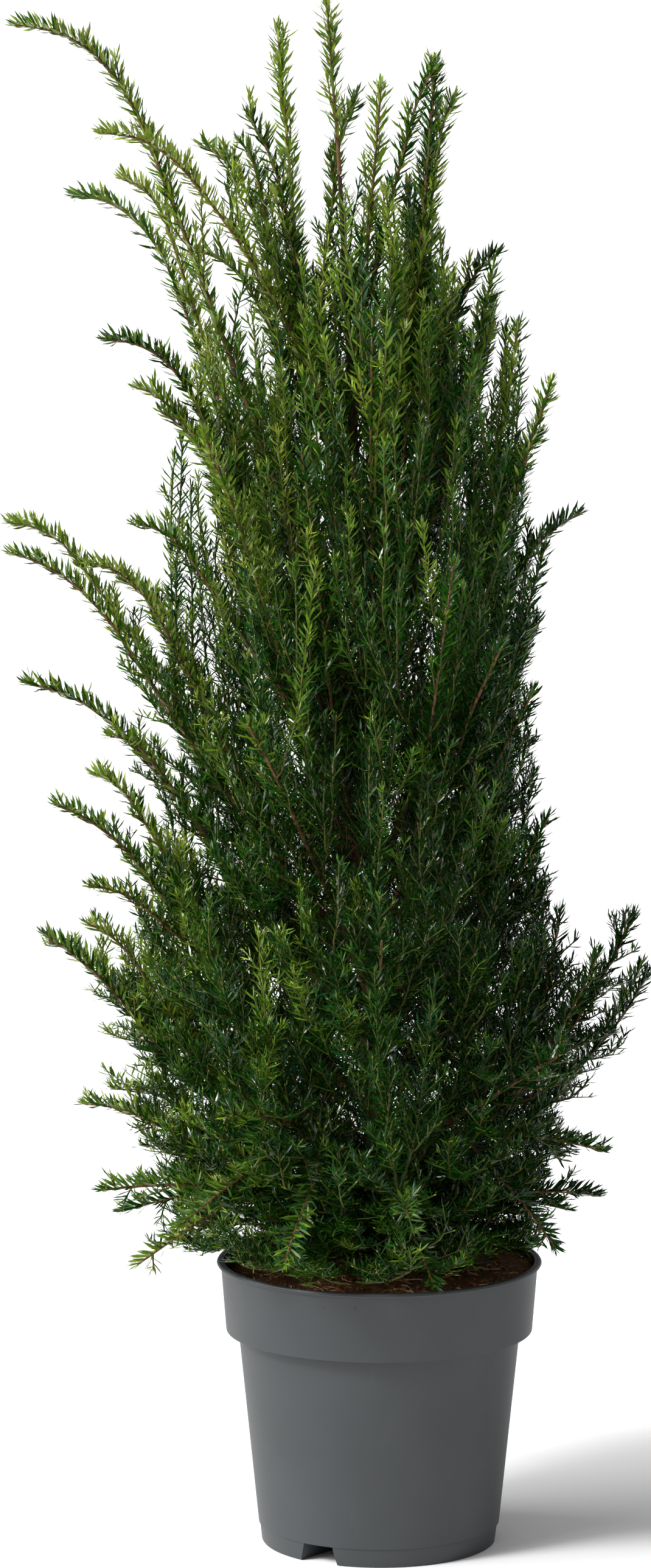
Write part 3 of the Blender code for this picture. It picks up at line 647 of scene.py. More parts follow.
def thicken(shoot):
    """A second row of needles for a leading shoot, which carries them closer than the rest."""
    points = shoot["points"][len(shoot["points"]) // 4:]
    keep(points + 0.0004, TUFT, NO_WOOD, shoot["needle"], (0.5, 1.2), shoot["raised"])
    return shoot


def add_tuft(shoot, lines):
    """A rosette of short needles that closes round a shoot's tip."""
    points = shoot["points"]
    tip = points[-1]
    back = unit(points[-2] - tip)
    for k in range(lines):
        end = tip + 0.0015 * draws.normal(0, 1, 3)
        line = np.array([tip + back * 0.0065, tip + back * 0.003, end])
        keep(line, TUFT, NO_WOOD, 0.0135, (1.0, 1.0), 0.5)


def at(points, share):
    """A place along a line, and its heading there."""
    place = share * (len(points) - 1)
    near = int(min(len(points) - 2, place))
    part = place - near
    return points[near] * (1 - part) + points[near + 1] * part, unit(points[near + 1] - points[near])


def run_of(points):
    return np.linalg.norm(np.diff(points, axis=0), axis=1).sum()


def limb_line(foot, tip, arch, hook, count):
    """A limb's arc; a hooked one bends over in its last part."""
    span = tip - foot
    bend = hook * (1 - HOOK_START) / 2
    drop = max(0.0, span[2] - arch * np.linalg.norm(span)) * bend / (1 - bend)
    pull = HOOK_OUT * drop * unit(span * (1, 1, 0)) - drop * UPRIGHT
    share = np.linspace(0, 1, count)[:, None]
    past = np.clip((share - HOOK_START) / (1 - HOOK_START), 0, 1)
    return arc_to(foot, tip - pull, arch, count) + pull * past ** 2


def wavy(points, size):
    """Bends a line a little, as grown wood is; its two ends stay."""
    share = np.linspace(0, 1, len(points))
    length = np.linalg.norm(points[-1] - points[0])
    for turns in (1.0, 2.0, 3.0):
        side = draws.normal(0, size * length / turns, 3)
        points = points + np.sin(math.pi * turns * share)[:, None] * side
    return points


def side_shoot(root, ahead, azimuth, spread, length, lift, count):
    """A shoot that leaves its stem at an angle and bends up towards the light."""
    sideways = unit(np.cross(ahead, (0.31, 0.17, 0.93)))
    sideways = turned_about(sideways, ahead, azimuth)
    out = ahead * math.cos(spread) + sideways * math.sin(spread)
    tip = root + unit(out * (1 - 0.35 * lift) + np.array((0, 0, lift))) * length
    return bent(root, root + out * length * 0.5, tip, count)


def cut_to_crown(points, least):
    """The shoot up to where it leaves the crown, or None if too little is left."""
    inside = allowed(points)
    stop = len(points) if inside.all() else int(np.argmin(inside))
    if stop < 2 or np.linalg.norm(points[stop - 1] - points[0]) < least:
        return None
    return points[:stop]


def add_twigs(shoot, spacing, size, first):
    """Twigs to left and right of a shoot, shorter towards its tip."""
    points = shoot["points"]
    count = int(run_of(points) / spacing)
    for k in range(count):
        share = first + (0.92 - first) * (k + draws.uniform(0.2, 0.8)) / max(1, count)
        root, ahead = at(points, share)
        flat = unit(np.cross(ahead, (0.1, 0.07, 1.0)))
        out = turned_about(flat, ahead, math.pi * (k % 2) + draws.normal(0, 0.7))
        spread = draws.uniform(0.55, 0.95)
        reach = size * draws.uniform(0.5, 1.15) * (1.2 - 0.75 * share)
        way = ahead * math.cos(spread) + out * math.sin(spread)
        tip = root + unit(way + ahead * 0.25 + np.array((0, 0, 0.25))) * reach
        twig = cut_to_crown(bent(root, root + way * reach * 0.5, tip, 5), 0.010)
        if twig is not None:
            twig = keep(twig[[0, -1]], TWIG, (0.0010, 0.5, 0.0008, 0.0006), 0.0170, (0.95, 1.0))
            if draws.uniform() < TUFTED_TWIGS:
                add_tuft(twig, 1)


def add_spray(kind, points, needle, twig_gap, twig_size, first=0.22):
    """A side shoot with its tuft and its twigs. Gives False where nothing of it was left."""
    if points is None:
        return False
    (foot, middle, tip), leafy, raised, tuft = KINDS[kind]
    shoot = keep(points, SIDE, (foot, 0.5, middle, tip), needle, leafy, raised)
    add_tuft(shoot, tuft)
    add_twigs(shoot, twig_gap, twig_size, first)
    return True


def add_side_shoots(points, reach, first, leading=1.0):
    """Side shoots in turn round a limb, from a share of its length on, each with its twigs."""
    length = run_of(points)
    start = draws.uniform(0, 2 * math.pi)
    share = first
    k = 0
    while share < 0.97:
        root, ahead = at(points, share)
        here = habit(root[2])
        share += here["gap"] * draws.uniform(0.6, 1.4) / length
        k += 1
        spread = math.radians(max(10.0, here["spread"] + draws.normal(0, 7)))
        size = reach * here["stretch"] * draws.uniform(0.35, 1.0)
        size *= 1.0 - 0.70 * min(1.0, share)
        size *= leading
        azimuth = start + GOLDEN * k
        outer = crown_share(root[None])[0]
        size *= np.interp(outer, (0.62, 0.88), (1.0, 0.45 if root[2] > LOW_CROWN else 0.8))
        if outer > OUTER_EDGE:
            side = side_shoot(root, ahead, azimuth, spread, max(0.018, 0.35 * size), 0.2, 6)
        else:
            lift = here["lift"] * draws.uniform(0.5, 1.2)
            side = side_shoot(root, ahead, azimuth, spread, max(0.022, size), lift, 6)
            side = cut_to_crown(wavy(side, 0.02), 0.02)
        needle = by_height(root[2], (1.0, 0.0185), (1.4, 0.0220))
        twig_gap = here["twig_gap"] if size > LEAST_TWIGGED else math.inf
        add_spray("from_limb", side, needle, twig_gap, min(here["twig_size"], 0.30 * size + 0.018))


limb_lines = {}
for name, height, tip, arch, hook, bare, girth, reach in LIMBS:
    axis = trunk_point(height)
    out = unit((np.array(tip) - axis) * (1, 1, 0))
    foot = axis if height >= TRUNK_TOP else axis + out * trunk_radius(height) * 0.8
    line = wavy(limb_line(foot, np.array(tip), arch, hook, 44), 0.004)
    limb_lines[name] = line
    if bare:
        radii = (BOUGH_RADIUS[0] * girth, bare, BOUGH_RADIUS[1] * girth, STEM_RADIUS[1])
    else:
        radii = (1.2 * STEM_RADIUS[0] * girth, 0.4, 0.75 * STEM_RADIUS[0] * girth, STEM_RADIUS[1])
    add_tuft(thicken(keep(line, LIMB, radii, 0.0240, (-0.2, 1.9), 0.9)), 3)
    add_side_shoots(line, reach, 0.12)

heights = np.arange(SOIL_LEVEL + 0.0003, TRUNK_TOP, 0.004)
trunk_line = np.array([trunk_point(height) for height in heights])
for parent, place, tip, arch, hook in SHOOTS:
    foot = trunk_point(place) if parent == "trunk" else at(limb_lines[parent], place)[0]
    line = wavy(limb_line(foot, np.array(tip), arch, hook, 30), 0.006)
    add_tuft(thicken(keep(line, LIMB, (0.0028, 0.4, 0.0020, 0.0012), 0.0235, (0.4, 1.5), 0.9)), 3)
    add_side_shoots(line, 0.14, 0.25, 0.9)

# Upright shoots close under the body's surface, each from the nearest limb below it
limb_places = np.concatenate([line[5:-5] for line in limb_lines.values()])
for k in range(RISERS):
    height = draws.uniform(*RISER_HEIGHTS)
    tip = body_point(GOLDEN * k + draws.uniform(-0.3, 0.3), height, draws.uniform(0.55, 1.0))
    length = draws.uniform(*RISER_LENGTHS)
    aim = tip * (0.78, 0.78, 1.0) - (0, 0, length)
    root = limb_places[np.argmin(np.linalg.norm(limb_places - aim, axis=1))]
    if tip[2] - root[2] < 0.6 * length:
        continue
    riser = wavy(arc_to(root, tip, -0.30, 9), 0.012)
    needle = by_height(height, (1.0, 0.0190), (1.4, 0.0225))
    here = habit(height)
    add_spray("riser", riser, needle, 0.9 * here["twig_gap"], 0.9 * here["twig_size"])

# Shoots straight from the trunk, in turn round it
for k, height in enumerate(np.arange(*TRUNK_SHOOT_HEIGHTS)):
    size = by_height(height, *TRUNK_SHOOT_LENGTHS) * draws.uniform(0.6, 1.1)
    here = habit(height)
    spread = math.radians(here["spread"] * draws.uniform(0.9, 1.5))
    side = side_shoot(trunk_point(height), UPRIGHT, GOLDEN * k, spread, size, 0.5 * here["lift"], 6)
    side = cut_to_crown(wavy(side, 0.02), 0.02)
    add_spray("from_trunk", side, 0.0185, 1.3 * here["twig_gap"], 0.3 * size + 0.012)

# Low skirt: short leafy boughs that hide the trunk's foot and rest on the pot's lip
for k in range(SKIRT_SHOOTS):
    root = trunk_point(SKIRT_FOOT + SKIRT_GAP * k)
    spread = math.radians(draws.uniform(*SKIRT_SPREAD))
    size = draws.uniform(*SKIRT_LENGTHS)
    side = side_shoot(root, UPRIGHT, GOLDEN * k, spread, size, draws.uniform(-0.06, 0.06), 7)
    side = wavy(side, 0.02)
    if side[-1, 1] < -SKIRT_FRONT and k % 8:
        side = root + (side - root) * (SKIRT_FRONT / -side[-1, 1])
    lowest = np.interp(np.hypot(side[1:, 0], side[1:, 1]), (0.13, 0.16), (0.005, 0.015))
    side[1:, 2] = np.maximum(side[1:, 2], POT_HEIGHT + lowest + draws.uniform(0, 0.006))
    add_spray("skirt", cut_to_crown(side, 0.05), 0.0175, 0.013, min(0.06, 0.22 * size + 0.02))

# Sprays that fill the body's surface wherever it is still thin: they grow from the nearest
# limb or side shoot, lower down and further in
roots = np.concatenate([shoot["points"] for shoot in shoots if shoot["order"] < TWIG])
filled = 0
for k in range(FILL_TRIES):
    height = FILL_FOOT + FILL_HEIGHT * draws.uniform() ** 1.5
    tip = body_point(GOLDEN * k, height, draws.uniform(0.50, 0.95))
    length = by_height(height, *FILL_LENGTHS) * draws.uniform(0.8, 1.3)
    if crowding.get(cell(tip), 0) >= by_height(height, *FILL_LIMIT):
        continue
    drop = by_height(height, *FILL_DROPS) * length
    aim = tip * (0.80, 0.80, 1.0) - (0, 0, drop)
    root = roots[np.argmin(np.linalg.norm(roots - aim, axis=1))]
    if not 0.4 * length < np.linalg.norm(tip - root) < 1.9 * length or root[2] > tip[2] + 0.01:
        continue
    spray = cut_to_crown(wavy(arc_to(root, tip, -0.30, 6), 0.015), 0.03)
    here = habit(height)
    filled += add_spray("fill", spray, 0.0180, 1.15 * here["twig_gap"], 0.8 * here["twig_size"], 0.3)
print(filled, "sprays fill the surface")

run = sum(run_of(shoot["points"]) for shoot in shoots)
print(len(shoots), "shoots,", round(run, 1), "m in all")

# %% [markdown]
# ## Tints by shoot
#
# The shoots at the top left are the lightest, and the inside and the right are the darkest: painted light
# and shade, as the lamps stand at the upper left, with the real lighter young growth at the top.
# Each side shoot and its twigs draw one tint, so that the colour changes by spray.

# %%
ORDERED = ("deep", "dark", "mid", "leaf", "fresh", "olive")
spray_drift = 0.0
for shoot in shoots:
    middle = shoot["points"].mean(axis=0)
    if shoot["order"] < TWIG:
        spray_drift = draws.normal(0, 0.85)
    outside = min(1.1, crown_share(middle[None])[0])
    sideways = middle[0] * min(1.0, max(0.3, 1.9 - middle[2]))
    # Painted light and shade: lighter further out and to the left, darker inside and to the right; the
    # height term is partly the real lighter young growth and partly painted light
    painted_light_score = 0.10 + 1.5 * outside + 4.0 * max(0.0, middle[2] - 0.9) - 4.8 * sideways
    painted_light_score += spray_drift + draws.normal(0, 0.25)
    painted_light_score += 1.2 * (shoot["order"] == TUFT)
    shoot["tint"] = ORDERED[int(min(5, max(0, painted_light_score)))]
    if shoot["tint"] in ("dark", "mid") and draws.uniform() < 0.18:
        shoot["tint"] = "blue"
counts = {tint: sum(shoot["tint"] == tint for shoot in shoots) for tint in NEEDLE_TINTS}
print("shoots by tint:", counts)

# %% [markdown]
# ## Lines that carry values
#
# The shoots go into one mesh of open lines, whose points carry the values that the trees read.

# %%
LINE_VALUES = ("radius", "way", "comb", "needle", "leafy", "raised")

# Needles lean forward and shorten over the last part of a shoot, which is no longer than this
CLOSED_TIP = 0.10


def line_mesh(name, chosen):
    """One mesh of open lines from shoots, with their values on its points."""
    lines = [shoot["points"] for shoot in chosen]
    sizes = [len(line) for line in lines]
    mesh = bpy.data.meshes.new(name)
    mesh.vertices.add(sum(sizes))
    mesh.vertices.foreach_set("co", np.concatenate(lines).astype(np.float32).ravel())
    first = np.concatenate([start + np.arange(size - 1)
                            for start, size in zip(np.cumsum([0] + sizes[:-1]), sizes)])
    mesh.edges.add(len(first))
    mesh.edges.foreach_set("vertices", np.stack((first, first + 1), axis=1).astype(np.int32).ravel())
    values = {value: [] for value in LINE_VALUES}
    for shoot, size in zip(chosen, sizes):
        share = np.linspace(0, 1, size)
        ahead = np.gradient(shoot["points"], axis=0)
        rise = ahead[:, 2] / np.linalg.norm(ahead, axis=1)
        tips = max(1.0, run_of(shoot["points"]) / CLOSED_TIP)
        values["way"].append(np.maximum(0.0, 1 - (1 - share) * tips))
        foot, part, middle, tip = shoot["radii"]
        values["radius"].append(np.interp(share, (0, part, 1), (foot, middle, tip)))
        values["comb"].append(np.clip(1.25 - 1.15 * np.abs(rise), 0.0, 1.2 - 0.8 * shoot["raised"]))
        values["needle"].append(np.full(size, shoot["needle"]))
        values["leafy"].append(np.interp(share, (0, 1), shoot["leafy"]))
        values["raised"].append(np.full(size, shoot["raised"]))
    for value, parts in values.items():
        layer = mesh.attributes.new(value, "FLOAT", "POINT")
        layer.data.foreach_set("value", np.concatenate(parts).astype(np.float32))
    mesh.update()
    return mesh


# %% [markdown]
# ## Needles
#
# One needle is a bent blade of three triangles, pointed at its tip. The tree sets needles along
# every line in turn round it, lays them flat to both sides where the shoot leans, and turns
# them forward towards the shoot's tip.

# %%
NEEDLE_SPACING = 0.0025
SHOOTS_A_PIECE = 5500
NEEDLE_FACES = 3

# Place along the needle, half its width there, and its height in the bend
NEEDLE_OUTLINE = ((0.0, 0.038, 0.0), (0.62, 0.068, 0.045))
NEEDLE_TIP = (1.0, 0.13)


def needle_mesh():
    """A blade one unit long along Y, curved towards +Z."""
    points = []
    for along, half, height in NEEDLE_OUTLINE:
        points += [(-half, along, height), (half, along, height)]
    points.append((0, *NEEDLE_TIP))
    mesh = bpy.data.meshes.new("needle")
    mesh.from_pydata(points, [], [(0, 1, 3, 2), (2, 3, 4)])
    mesh.shade_smooth()
    return mesh


def needle_tree():
    """Needles along each line, in turn round it, with the values that its points carry."""
    tree, given, result = new_tree("needles_along_shoots", Needle="Object", Spacing="Float",
                                   Material="Material", Seed="Int")
    inputs = {0: curves_of(tree, given), 2: given["Spacing"]}
    points = add_node(tree, "GeometryNodeCurveToPoints", inputs, mode="LENGTH").outputs
    ahead = points["Tangent"]
    comb = attribute(tree, "comb")
    way = attribute(tree, "way")
    side = vector_calc(tree, "NORMALIZE", vector_calc(tree, "CROSS_PRODUCT", ahead, (0.08, 0.05, 1.0)))
    up = vector_calc(tree, "CROSS_PRODUCT", side, ahead)
    turn = calc(tree, "MULTIPLY", made(tree, "GeometryNodeInputIndex"), GOLDEN)
    turn = calc(tree, "ADD", turn, draw(tree, -0.4, 0.4, given["Seed"]))
    across = calc(tree, "COSINE", turn)
    above = calc(tree, "SINE", turn)
    around = summed(tree, side, across, up, above)
    raised = calc(tree, "ADD", calc(tree, "MULTIPLY", above, 0.30), attribute(tree, "raised"))
    flat = summed(tree, side, calc(tree, "SIGN", across), up, raised)
    out = vector_calc(tree, "NORMALIZE", mixed(tree, comb, around, flat))
    # Lean from the shoot in radians: more where needles lie flat, under half as much at the tip
    lean = ease(tree, comb, 0.0, 0.9, 0.88, 1.18)
    lean = calc(tree, "MULTIPLY", lean, ease(tree, way, 0.75, 1.0, 1.0, 0.45))
    lean = calc(tree, "ADD", lean, draw(tree, -0.16, 0.16, 2))
    axis = summed(tree, ahead, calc(tree, "COSINE", lean), out, calc(tree, "SINE", lean))
    face = mixed(tree, comb, ahead, up)
    twist = scaled(tree, vector_calc(tree, "CROSS_PRODUCT", axis, face), draw(tree, -0.8, 0.8, 11))
    face = vector_calc(tree, "ADD", face, twist)
    rotation = made(tree, "FunctionNodeAxesToRotation", {0: axis, 1: face},
                    primary_axis="Y", secondary_axis="Z")
    size = calc(tree, "MULTIPLY", attribute(tree, "needle"), draw(tree, 0.82, 1.12, 5))
    size = calc(tree, "MULTIPLY", size, ease(tree, way, 0.86, 1.0, 1.0, 0.62))
    chosen = calc(tree, "LESS_THAN", draw(tree, 0.0, 1.0, 7), attribute(tree, "leafy"))
    needle = add_node(tree, "GeometryNodeObjectInfo", {0: given["Needle"]}).outputs["Geometry"]
    strewn(tree, given, result, points["Points"], chosen, needle, rotation, size)
    return tree


needle = new_object("needle", needle_mesh())
NEEDLE_TREE = needle_tree()
total = 0
for tint, material in NEEDLES.items():
    chosen = [shoot for shoot in shoots if shoot["tint"] == tint]
    parts = 1 + len(chosen) // SHOOTS_A_PIECE
    for part in range(parts):
        name = f"needles_{tint}" + (f"_{part + 1}" if parts > 1 else "")
        piece = grown(name, line_mesh("lines_" + name, chosen[part::parts]), NEEDLE_TREE,
                      Needle=needle, Spacing=NEEDLE_SPACING, Material=material,
                      Seed=len(chosen) + part)
        finished(piece, "needles", *FOLIAGE_NODES)
        total += len(piece.data.loop_triangles)
bpy.data.objects.remove(needle)
print("needles:", total // NEEDLE_FACES)

# %% [markdown]
# ## Wood
#
# The same lines become tubes. The trunk and the limbs carry the bark's relief as real shape.

# %%


def wood_tree():
    """Tubes round the lines, roughened along their normals by stretched noise."""
    tree, given, result = new_tree("tubes_round_lines", Sides="Int", Relief="Float",
                                   Material="Material", Caps="Bool")
    inputs = {"Resolution": given["Sides"], "Radius": 1.0}
    ring = made(tree, "GeometryNodeCurvePrimitiveCircle", inputs)
    inputs = {0: curves_of(tree, given), 1: ring, "Scale": attribute(tree, "radius"),
              "Fill Caps": given["Caps"]}
    tubes = made(tree, "GeometryNodeCurveToMesh", inputs)
    place = vector_calc(tree, "MULTIPLY", made(tree, "GeometryNodeInputPosition"), (1.0, 1.0, 0.22))
    grain = made(tree, "ShaderNodeTexNoise", {"Vector": place, "Scale": 260.0, "Detail": 3.0})
    depth = calc(tree, "MULTIPLY", calc(tree, "SUBTRACT", grain, 0.5), given["Relief"])
    offset = scaled(tree, made(tree, "GeometryNodeInputNormal"), depth)
    tubes = made(tree, "GeometryNodeSetPosition", {0: tubes, "Offset": offset})
    coloured(tree, given, result, made(tree, "GeometryNodeSetShadeSmooth", {0: tubes}))
    return tree


# Ribs that the trunk's flared foot has, and their depth against its radius
RIBS = 4
RIB_DEPTH = 0.16
WOOD_TREE = wood_tree()
trunk_shoot = {"points": trunk_line, "needle": 0.0, "leafy": (0, 0), "raised": 0.0, "radii": NO_WOOD}
trunk_mesh = line_mesh("trunk_line", [trunk_shoot])
widths = [trunk_radius(height) for height in trunk_line[:, 2]]
trunk_mesh.attributes["radius"].data.foreach_set("value", np.array(widths, np.float32))
trunk = grown("trunk_bark", trunk_mesh, WOOD_TREE, Sides=28, Relief=0.0014, Material=OLD_BARK, Caps=True)
for vert in trunk.data.vertices:
    axis = trunk_point(vert.co.z)
    azimuth = math.atan2(vert.co.y - axis[1], vert.co.x - axis[0])
    rib = 1 + RIB_DEPTH * math.sin(RIBS * azimuth) * math.exp(-(vert.co.z - SOIL_LEVEL) / FLARE_HEIGHT)
    vert.co.x = axis[0] + (vert.co.x - axis[0]) * rib
    vert.co.y = axis[1] + (vert.co.y - axis[1]) * rib
finished(trunk, "bark", "trunk")

WOOD = (
    ("limb_bark", LIMB, 8, 0.0005, LIMB_BARK, BOUGH_NODES),
    ("side_shoot_bark", SIDE, 3, 0.0, TAN_BARK, ()),
    ("twig_bark", TWIG, 3, 0.0, GREEN_BARK, ()),
)
for name, order, sides, depth, material, nodes in WOOD:
    chosen = [shoot for shoot in shoots if shoot["order"] == order]
    piece = grown(name, line_mesh(name + "_lines", chosen), WOOD_TREE, Sides=sides, Relief=depth,
                  Material=material, Caps=order == LIMB)
    finished(piece, "bark", *nodes)

# %% [markdown]
# ## Buds
#
# Every other shoot, drawn at random, ends in a small pointed bud.

# %%
BUD_RADIUS = 0.0009
BUD_LENGTH = 0.0034
BUD_SHARE = 0.5


def bud_tree():
    """A pointed cone on the last point of each line."""
    tree, given, result = new_tree("buds_on_tips", Material="Material")
    curves = curves_of(tree, given)
    tip = made(tree, "GeometryNodeCurveEndpointSelection", {0: 0, 1: 1})
    inputs = {"Vertices": 4, "Side Segments": 1, "Radius Top": 0.0,
              "Radius Bottom": BUD_RADIUS, "Depth": BUD_LENGTH}
    bud = made(tree, "GeometryNodeMeshCone", inputs, fill_type="NONE")
    tangent = made(tree, "GeometryNodeInputTangent")
    rotation = made(tree, "FunctionNodeAxesToRotation", {0: tangent, 1: (0.3, 0.9, 0.1)},
                    primary_axis="Z", secondary_axis="X")
    strewn(tree, given, result, curves, tip, bud, rotation, draw(tree, 0.7, 1.25, 3))
    return tree


budding = [shoot for shoot in shoots if shoot["order"] < TUFT and draws.uniform() < BUD_SHARE]
buds = grown("buds", line_mesh("bud_lines", budding), bud_tree(), Material=BUD_SCALES)
finished(buds, "needles")

# %% [markdown]
# ## Pot
#
# The CAD profile again, turned in fine steps, with its lip drawn as a bead and its edges eased.
# Three channels cross the underside, and each opens in a notch in the foot.

# %%
COLLAR_RADIUS = (0.1855, 0.1795)
COLLAR_FOOT = 0.252
BODY_RADIUS = (0.1650, 0.1415)
FOOT_HEIGHT = 0.022
FOOT_RADIUS = (0.140, 0.138)
LIP_DEPTH = 0.0055
WALL = 0.003
CHANNEL_AZIMUTHS = (239.0, 359.0, 119.0)
CHANNEL_HEIGHT = 0.022
CHANNEL_SPAN = (0.045, 0.160)
CHANNEL_HALF_WIDTH = (0.012, 0.031)
CHANNEL_TOP_SHARE = 0.70
DRAIN_RADIUS = 0.006
DRAIN_DISTANCE = 0.090
POT_STEPS = 144

# How far the channels' cutters reach below the foot, so that they cut it cleanly
BELOW_FOOT = 0.01


def turned(name, profile, *materials):
    """A profile of radius and height, from the axis at the top down its outer side, turned round Z."""
    mesh = bpy.data.meshes.new(name)
    mesh.from_pydata([(radius, 0.0, height) for radius, height in profile],
                     [(k, k + 1) for k in range(len(profile) - 1)], [])
    item = new_object(name, mesh, *materials)
    screw = item.modifiers.new("turn", "SCREW")
    screw.steps = POT_STEPS
    screw.render_steps = POT_STEPS
    screw.use_merge_vertices = True
    screw.merge_threshold = 0.00005
    return item


def quarter(middle, radius, start, end, steps):
    """Points of an arc in the profile, by degrees."""
    turns = [math.radians(start + (end - start) * k / steps) for k in range(steps + 1)]
    return [(middle[0] + radius * math.cos(turn), middle[1] + radius * math.sin(turn)) for turn in turns]


def cutter_box(name, azimuth, margin):
    """The trapezoid channel across the underside, grown by a margin."""
    mesh = made_mesh(name, bmesh.ops.create_cube, size=2.0)
    near, far = CHANNEL_SPAN
    turn = math.radians(azimuth)
    for vert in mesh.vertices:
        out = (vert.co.x + 1) / 2
        up = (vert.co.z + 1) / 2
        half = CHANNEL_HALF_WIDTH[0] + (CHANNEL_HALF_WIDTH[1] - CHANNEL_HALF_WIDTH[0]) * out
        across = (half * (1 - (1 - CHANNEL_TOP_SHARE) * up) + margin) * vert.co.y
        along = near - margin + (far - near + margin) * out
        vert.co = (along * math.cos(turn) - across * math.sin(turn),
                   along * math.sin(turn) + across * math.cos(turn),
                   -BELOW_FOOT + (CHANNEL_HEIGHT + margin + BELOW_FOOT) * up)
    return new_object(name, mesh)


def drain_plug(azimuth):
    """A round plug that cuts the drain hole through a channel's roof."""
    mesh = made_mesh("drain", bmesh.ops.create_cone, cap_ends=True, segments=32,
                     radius1=DRAIN_RADIUS, radius2=DRAIN_RADIUS, depth=4 * WALL)
    turn = math.radians(azimuth)
    place = Vector((DRAIN_DISTANCE * math.cos(turn), DRAIN_DISTANCE * math.sin(turn), CHANNEL_HEIGHT))
    for vert in mesh.vertices:
        vert.co += place
    return new_object("drain", mesh)


def cut(item, cutter):
    """Takes a cutter away from a piece; gives the cutter."""
    boolean = item.modifiers.new("cut", "BOOLEAN")
    boolean.operation = "DIFFERENCE"
    boolean.solver = "EXACT"
    boolean.object = cutter
    return cutter


bead = LIP_DEPTH / 2 - 0.0002
outside = [(0, POT_HEIGHT)]
outside += quarter((COLLAR_RADIUS[0] + 0.0004, POT_HEIGHT - 0.0012), 0.0012, 150, 90, 4)
outside += quarter((LIP_RADIUS - bead, POT_HEIGHT - bead), bead, 88, 4, 6)
outside += [(LIP_RADIUS + 0.0004, POT_HEIGHT - LIP_DEPTH / 2)]
outside += quarter((LIP_RADIUS - bead, POT_HEIGHT - LIP_DEPTH + bead), bead, -4, -86, 6)
outside += quarter((COLLAR_RADIUS[0] + 0.0008, POT_HEIGHT - LIP_DEPTH - 0.0008), 0.0008, 95, 180, 3)
outside += quarter((COLLAR_RADIUS[1] - 0.0012, COLLAR_FOOT + 0.0012), 0.0012, 0, -88, 4)
outside += quarter((BODY_RADIUS[0] + 0.0010, COLLAR_FOOT - 0.0010), 0.0010, 95, 180, 3)
outside += [(BODY_RADIUS[1], FOOT_HEIGHT), (FOOT_RADIUS[0], FOOT_HEIGHT - 0.0012),
            (FOOT_RADIUS[1], 0.0014), (FOOT_RADIUS[1] - 0.001, 0.0), (0, 0)]
inside = [(0, POT_HEIGHT + 0.01), (COLLAR_RADIUS[0] - WALL, POT_HEIGHT + 0.01),
          (COLLAR_RADIUS[0] - WALL, POT_HEIGHT - LIP_DEPTH),
          (COLLAR_RADIUS[1] - WALL, COLLAR_FOOT + WALL),
          (BODY_RADIUS[0] - WALL, COLLAR_FOOT + WALL), (BODY_RADIUS[1] - WALL, FOOT_HEIGHT),
          (FOOT_RADIUS[1] - WALL, WALL), (0, WALL)]
pot = turned("pot_shell", outside, POT_PLASTIC)
cavity = turned("cavity", inside)
helpers = [cavity]
for azimuth in CHANNEL_AZIMUTHS:
    helpers.append(cut(cavity, cutter_box("channel_wall", azimuth, WALL)))
    helpers.append(cut(pot, cutter_box("channel", azimuth, 0.0)))
cut(pot, cavity)
for azimuth in CHANNEL_AZIMUTHS:
    helpers.append(cut(pot, drain_plug(azimuth)))
baked(pot)
for helper in helpers:
    bpy.data.objects.remove(helper)
pot.data.shade_smooth()
pot.data.set_sharp_from_angle(angle=math.radians(34))
finished(pot, "pot_plastic", "pot")

# %% [markdown]
# ## Peat
#
# The peat heaps up towards the back right. Crumbs, straw-like fibres and fallen needles lie on it.

# %%
GAP = 0.0003
SOIL_HEAP = 0.007
HEAP_AZIMUTH = math.radians(50)
SOIL_EDGE = COLLAR_RADIUS[0] - WALL - GAP - 0.001
LEVEL_ROUND_TRUNK = 0.030

# A fibre's radius against its length, and the one large clod at the front
FIBRE_RADIUS = 0.026
CLOD_PLACE = (-0.045, -0.145, 0.3225)
CLOD_SIZE = 0.012


def soil_profile():
    """The peat's outline in the pot, with its level top in 40 rings."""
    top = [(0, SOIL_LEVEL)] + [(SOIL_EDGE * (k + 1) / 40, SOIL_LEVEL) for k in range(40)]
    inset = WALL + GAP
    bottom = CHANNEL_HEIGHT + inset
    ledge = COLLAR_FOOT + inset
    return top + [(COLLAR_RADIUS[1] - inset, ledge), (BODY_RADIUS[0] - inset, ledge),
                  (BODY_RADIUS[1] - inset + 0.0005, bottom), (0, bottom)]


